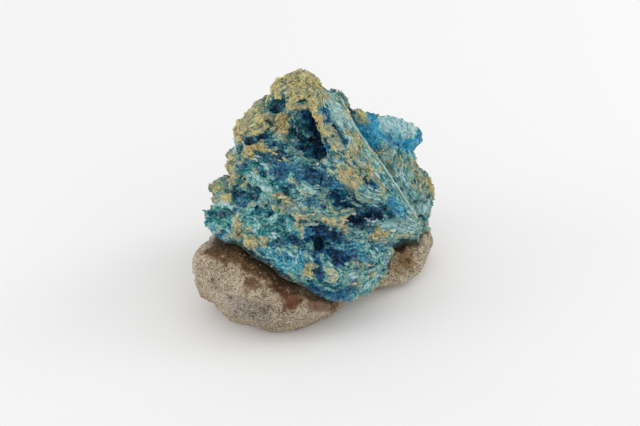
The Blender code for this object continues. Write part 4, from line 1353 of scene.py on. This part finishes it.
class SPECIMEN_OT_feature_crystals(bpy.types.Operator):
    """Make the bundles of small crystals that stand out by their colour"""

    bl_idname = "specimen.feature_crystals"
    bl_label = "Feature Crystals"

    def execute(self, context):
        chance = random.Random(31)
        surface = surface_of(bpy.data.objects["crystal_skin"].data)
        bm = bmesh.new()
        finishes = []
        for *ends, width, zone in FEATURES.values():
            start, end = (Vector(point) - TABLE_ORIGIN for point in ends)
            line = end - start
            for _ in range(max(4, round(line.length * width / FEATURE_ROOM))):
                aside = Vector([chance.uniform(-0.5, 0.5) for _ in range(3)]) * width
                place, normal, *_ = surface.find_nearest((start + line * chance.random() + aside) * MM)
                lean = Vector([chance.uniform(-0.2, 0.2) for _ in range(3)])
                along = line.normalized() + lean
                along -= normal * along.dot(normal) * 0.9
                reach = chance.uniform(*FEATURE_LENGTH)
                place = place / MM + normal * FEATURE_RISE
                add_prism(bm, place, along, chance.uniform(*FEATURE_WIDTH), reach, chance)
                finishes.append((zone, chance.random()))
        mesh = mesh_from(bm, "feature_crystals")
        piece = linked("feature_crystals", mesh)
        corner_count = len(mesh.vertices) // len(finishes)
        for name in sorted({zone for zone, _ in finishes}):
            shares = [name == zone or (name, zone) == ("crust", "rust") for zone, _ in finishes]
            store(mesh, **{name: np.repeat(np.array(shares, float), corner_count)})
        tints = np.repeat([tint for _, tint in finishes], corner_count)
        store(mesh, tint=tints, lanes=lanes(table_points(mesh), 1.0))
        finish(piece, bpy.data.materials["crystal_finish"])
        return {"FINISHED"}


class SPECIMEN_OT_crystal_blocks(bpy.types.Operator):
    """Scatter small leaning crystals and thin blades over the crystal skin"""

    bl_idname = "specimen.crystal_blocks"
    bl_label = "Crystal Blocks and Blades"

    def execute(self, context):
        look = chosen().crystal
        skin = bpy.data.objects["crystal_skin"]
        material = bpy.data.materials["crystal_finish"]
        free, crust = recall(skin.data, "free"), recall(skin.data, "crust")
        places = table_points(skin.data)
        blocks = [block_shape("block", ratio, lean, seed) for seed, (ratio, lean) in enumerate(BLOCKS)]
        room = free * (1 - 0.7 * crust) * (1 - 0.8 * recall(skin.data, "royal"))
        room *= 1 - 0.85 * recall(skin.data, "azure")
        sizes = [width * MM for width in BLOCK_WIDTH]
        scatter(
            skin, "crystal_blocks", blocks, room, look.block_count, sizes,
            sink=0.14, tilt=0.4, seed=3, material=material,
        )
        blades = [blade_shape("blade", ratio, seed) for seed, ratio in enumerate(BLADES)]
        room = free * near_spots(places, BLADE_ZONES)
        sizes = [width * MM for width in BLADE_WIDTH]
        scatter(
            skin, "crystal_blades", blades, room, look.blade_count, sizes,
            sink=0.08, tilt=0.12, seed=5, material=material,
        )
        return {"FINISHED"}


class SPECIMEN_OT_crust_grains(bpy.types.Operator):
    """Scatter grains of crust over the crystals' high spots"""

    bl_idname = "specimen.crust_grains"
    bl_label = "Crust Grains"

    def execute(self, context):
        crust = chosen().crust
        skin = bpy.data.objects["crystal_skin"]
        grains = [grain_shape("grain", seed, 0.6) for seed in range(4)]
        room = recall(skin.data, "free") * smooth_step(*CRUST_SHARE, recall(skin.data, "crust"))
        sizes = (crust.grain_size * 0.5, crust.grain_size * 1.7)
        material = shared_material("crust_finish", crust_material, crust)
        scatter(
            skin, "crust_grains", grains, room, crust.grain_count, sizes,
            sink=0.06, tilt=0.7, seed=7, material=material,
        )
        return {"FINISHED"}


class SPECIMEN_OT_rock_skin(bpy.types.Operator):
    """Make the sandy matrix rock's skin"""

    bl_idname = "specimen.rock_skin"
    bl_label = "Rock Skin"

    def execute(self, context):
        look = chosen().rock
        skin, places, gaps = start_skin(ROCK_NODE, MASS_NODE, "rock_skin", look, rounds=8)
        mesh = skin.data
        free = smooth_step(*FREE_GAP, gaps) * smooth_step(*FREE_HEIGHT, places[:, 2])
        frayed = places + each(fray, places) * 1.4
        zones = {name: near_spots(frayed, spots) for name, spots in ROCK_ZONES.items()}
        stain = zones["stain"]
        lumps = each(lambda place: noise.fractal(place / ROCK_LUMP, 0.9, 2.0, 3), places)
        sand = each(lambda place: noise.voronoi(place / ROCK_SAND)[0][0], places)
        pits = each(nicks, places / ROCK_PIT)
        heights = (
            lumps * look.lump_height / MM * (1 - 0.4 * stain)
            + (0.5 - sand) * look.grain_relief / MM * (1 - 0.7 * stain)
            - (0.5 + 1.0 * zones["rough"]) * pits
            + each(facets, frayed / ROCK_STEP) * look.rough_height / MM * zones["rough"]
            + each(knobs, frayed / ROCK_KNOB) * look.rough_height / MM * zones["rough"]
        )
        move_out(mesh, heights * free)
        store_zones(mesh, zones)
        # hollow and contact give the painted shade in the rock's hollows, gaps and at the crystals
        store(
            mesh,
            hollow=smooth_step(*ROCK_DEPTH, hollows(mesh, ROCK_HOLLOWS)),
            contact=smooth_step(*ROCK_CONTACT, gaps),
            tint=np.clip(1.1 - sand * 1.2, 0, 1),
            free=free,
            grain=grain_of(places),
        )
        finish(skin, shared_material("rock_finish", rock_material, look), ROCK_NODE)
        return {"FINISHED"}


class SPECIMEN_OT_sand_grains(bpy.types.Operator):
    """Scatter sand grains over the rock skin"""

    bl_idname = "specimen.sand_grains"
    bl_label = "Sand Grains"

    def execute(self, context):
        look = chosen().rock
        skin = bpy.data.objects["rock_skin"]
        grains = [grain_shape("sand", seed) for seed in range(10, 14)]
        places = table_points(skin.data)
        room = recall(skin.data, "free") * (1 - 0.75 * recall(skin.data, "stain"))
        room *= smooth_step(*SAND_HEIGHT, places[:, 2])
        sizes = (look.grain_size * 0.5, look.grain_size * 1.35)
        scatter(
            skin, "sand_grains", grains, room, look.grain_count, sizes,
            sink=0.12, tilt=3.0, seed=11, material=skin.data.materials[0],
        )
        return {"FINISHED"}


class SPECIMEN_OT_stage(bpy.types.Operator):
    """Set out the floor, the lights and the camera"""

    bl_idname = "specimen.stage"
    bl_label = "Stage"

    def execute(self, context):
        stage = chosen().stage
        scene = context.scene
        bm = bmesh.new()
        bmesh.ops.create_grid(bm, x_segments=1, y_segments=1, size=FLOOR_REACH)
        floor = linked("floor", mesh_from(bm, "floor"))
        material, _, shader = new_material("pale_floor")
        shader.inputs["Base Color"].default_value = (*stage.floor_colour, 1)
        shader.inputs["Roughness"].default_value = 0.9
        floor.data.materials.append(material)
        world = bpy.data.worlds.new("studio")
        world.use_nodes = True
        background = world.node_tree.nodes["Background"]
        background.inputs["Color"].default_value = (1, 1, 1, 1)
        background.inputs["Strength"].default_value = stage.sky
        scene.world = world
        target = CAMERA_TARGET * MM
        for name, (place, size), power in (
            ("key_light", KEY_LIGHT, stage.key_power),
            ("fill_light", FILL_LIGHT, stage.fill_power),
        ):
            light = bpy.data.lights.new(name, "AREA")
            light.size = size
            light.energy = power
            lamp = linked(name, light)
            lamp.location = place
            lamp.rotation_euler = (target - Vector(place)).to_track_quat("-Z", "Y").to_euler()
        camera = bpy.data.cameras.new("camera")
        camera.lens = stage.lens
        holder = linked("camera", camera)
        back = Vector((0, -math.cos(stage.elevation), math.sin(stage.elevation)))
        holder.location = target + back * stage.distance
        holder.rotation_euler = (-back).to_track_quat("-Z", "Y").to_euler()
        scene.camera = holder
        scene.view_settings.view_transform = "Standard"
        return {"FINISHED"}


class SPECIMEN_PT_pieces(bpy.types.Panel):
    """Lists the specimen's pieces and their settings"""

    bl_label = "Specimen"
    bl_idname = "SPECIMEN_PT_pieces"
    bl_space_type = "VIEW_3D"
    bl_region_type = "UI"
    bl_category = "Specimen"

    def draw(self, context):
        for operator in OPERATORS:
            self.layout.operator(operator.bl_idname)
        for group in context.scene.specimen.groups():
            box = self.layout.box()
            for name in group.__annotations__:
                box.prop(group, name)


class SpecimenSettings(bpy.types.PropertyGroup):
    """All of the specimen's settings."""

    crystal: PointerProperty(type=CrystalSettings)
    crust: PointerProperty(type=CrustSettings)
    rock: PointerProperty(type=RockSettings)
    stage: PointerProperty(type=StageSettings)

    def groups(self):
        """The groups in the order in which the panel lists them."""
        return self.crystal, self.crust, self.rock, self.stage


OPERATORS = (
    SPECIMEN_OT_stage,
    SPECIMEN_OT_rock_skin,
    SPECIMEN_OT_sand_grains,
    SPECIMEN_OT_crystal_skin,
    SPECIMEN_OT_slab_edge,
    SPECIMEN_OT_feature_crystals,
    SPECIMEN_OT_crystal_blocks,
    SPECIMEN_OT_crust_grains,
)
GROUPS = (CrystalSettings, CrustSettings, RockSettings, StageSettings, SpecimenSettings)
CLASSES = (*GROUPS, *OPERATORS, SPECIMEN_PT_pieces)


def register():
    for item in CLASSES:
        bpy.utils.register_class(item)
    bpy.types.Scene.specimen = PointerProperty(type=SpecimenSettings)


def unregister():
    del bpy.types.Scene.specimen
    for item in reversed(CLASSES):
        bpy.utils.unregister_class(item)


def corners(box):
    """A box's two corners as plain lists."""
    return [list(corner) for corner in box]


def main():
    """Makes every piece."""
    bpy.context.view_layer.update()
    register()
    bpy.ops.specimen.stage()
    bpy.ops.specimen.rock_skin()
    bpy.ops.specimen.sand_grains()
    bpy.ops.specimen.crystal_skin()
    bpy.ops.specimen.slab_edge()
    bpy.ops.specimen.feature_crystals()
    bpy.ops.specimen.crystal_blocks()
    bpy.ops.specimen.crust_grains()


if __name__ == "__main__":
    main()
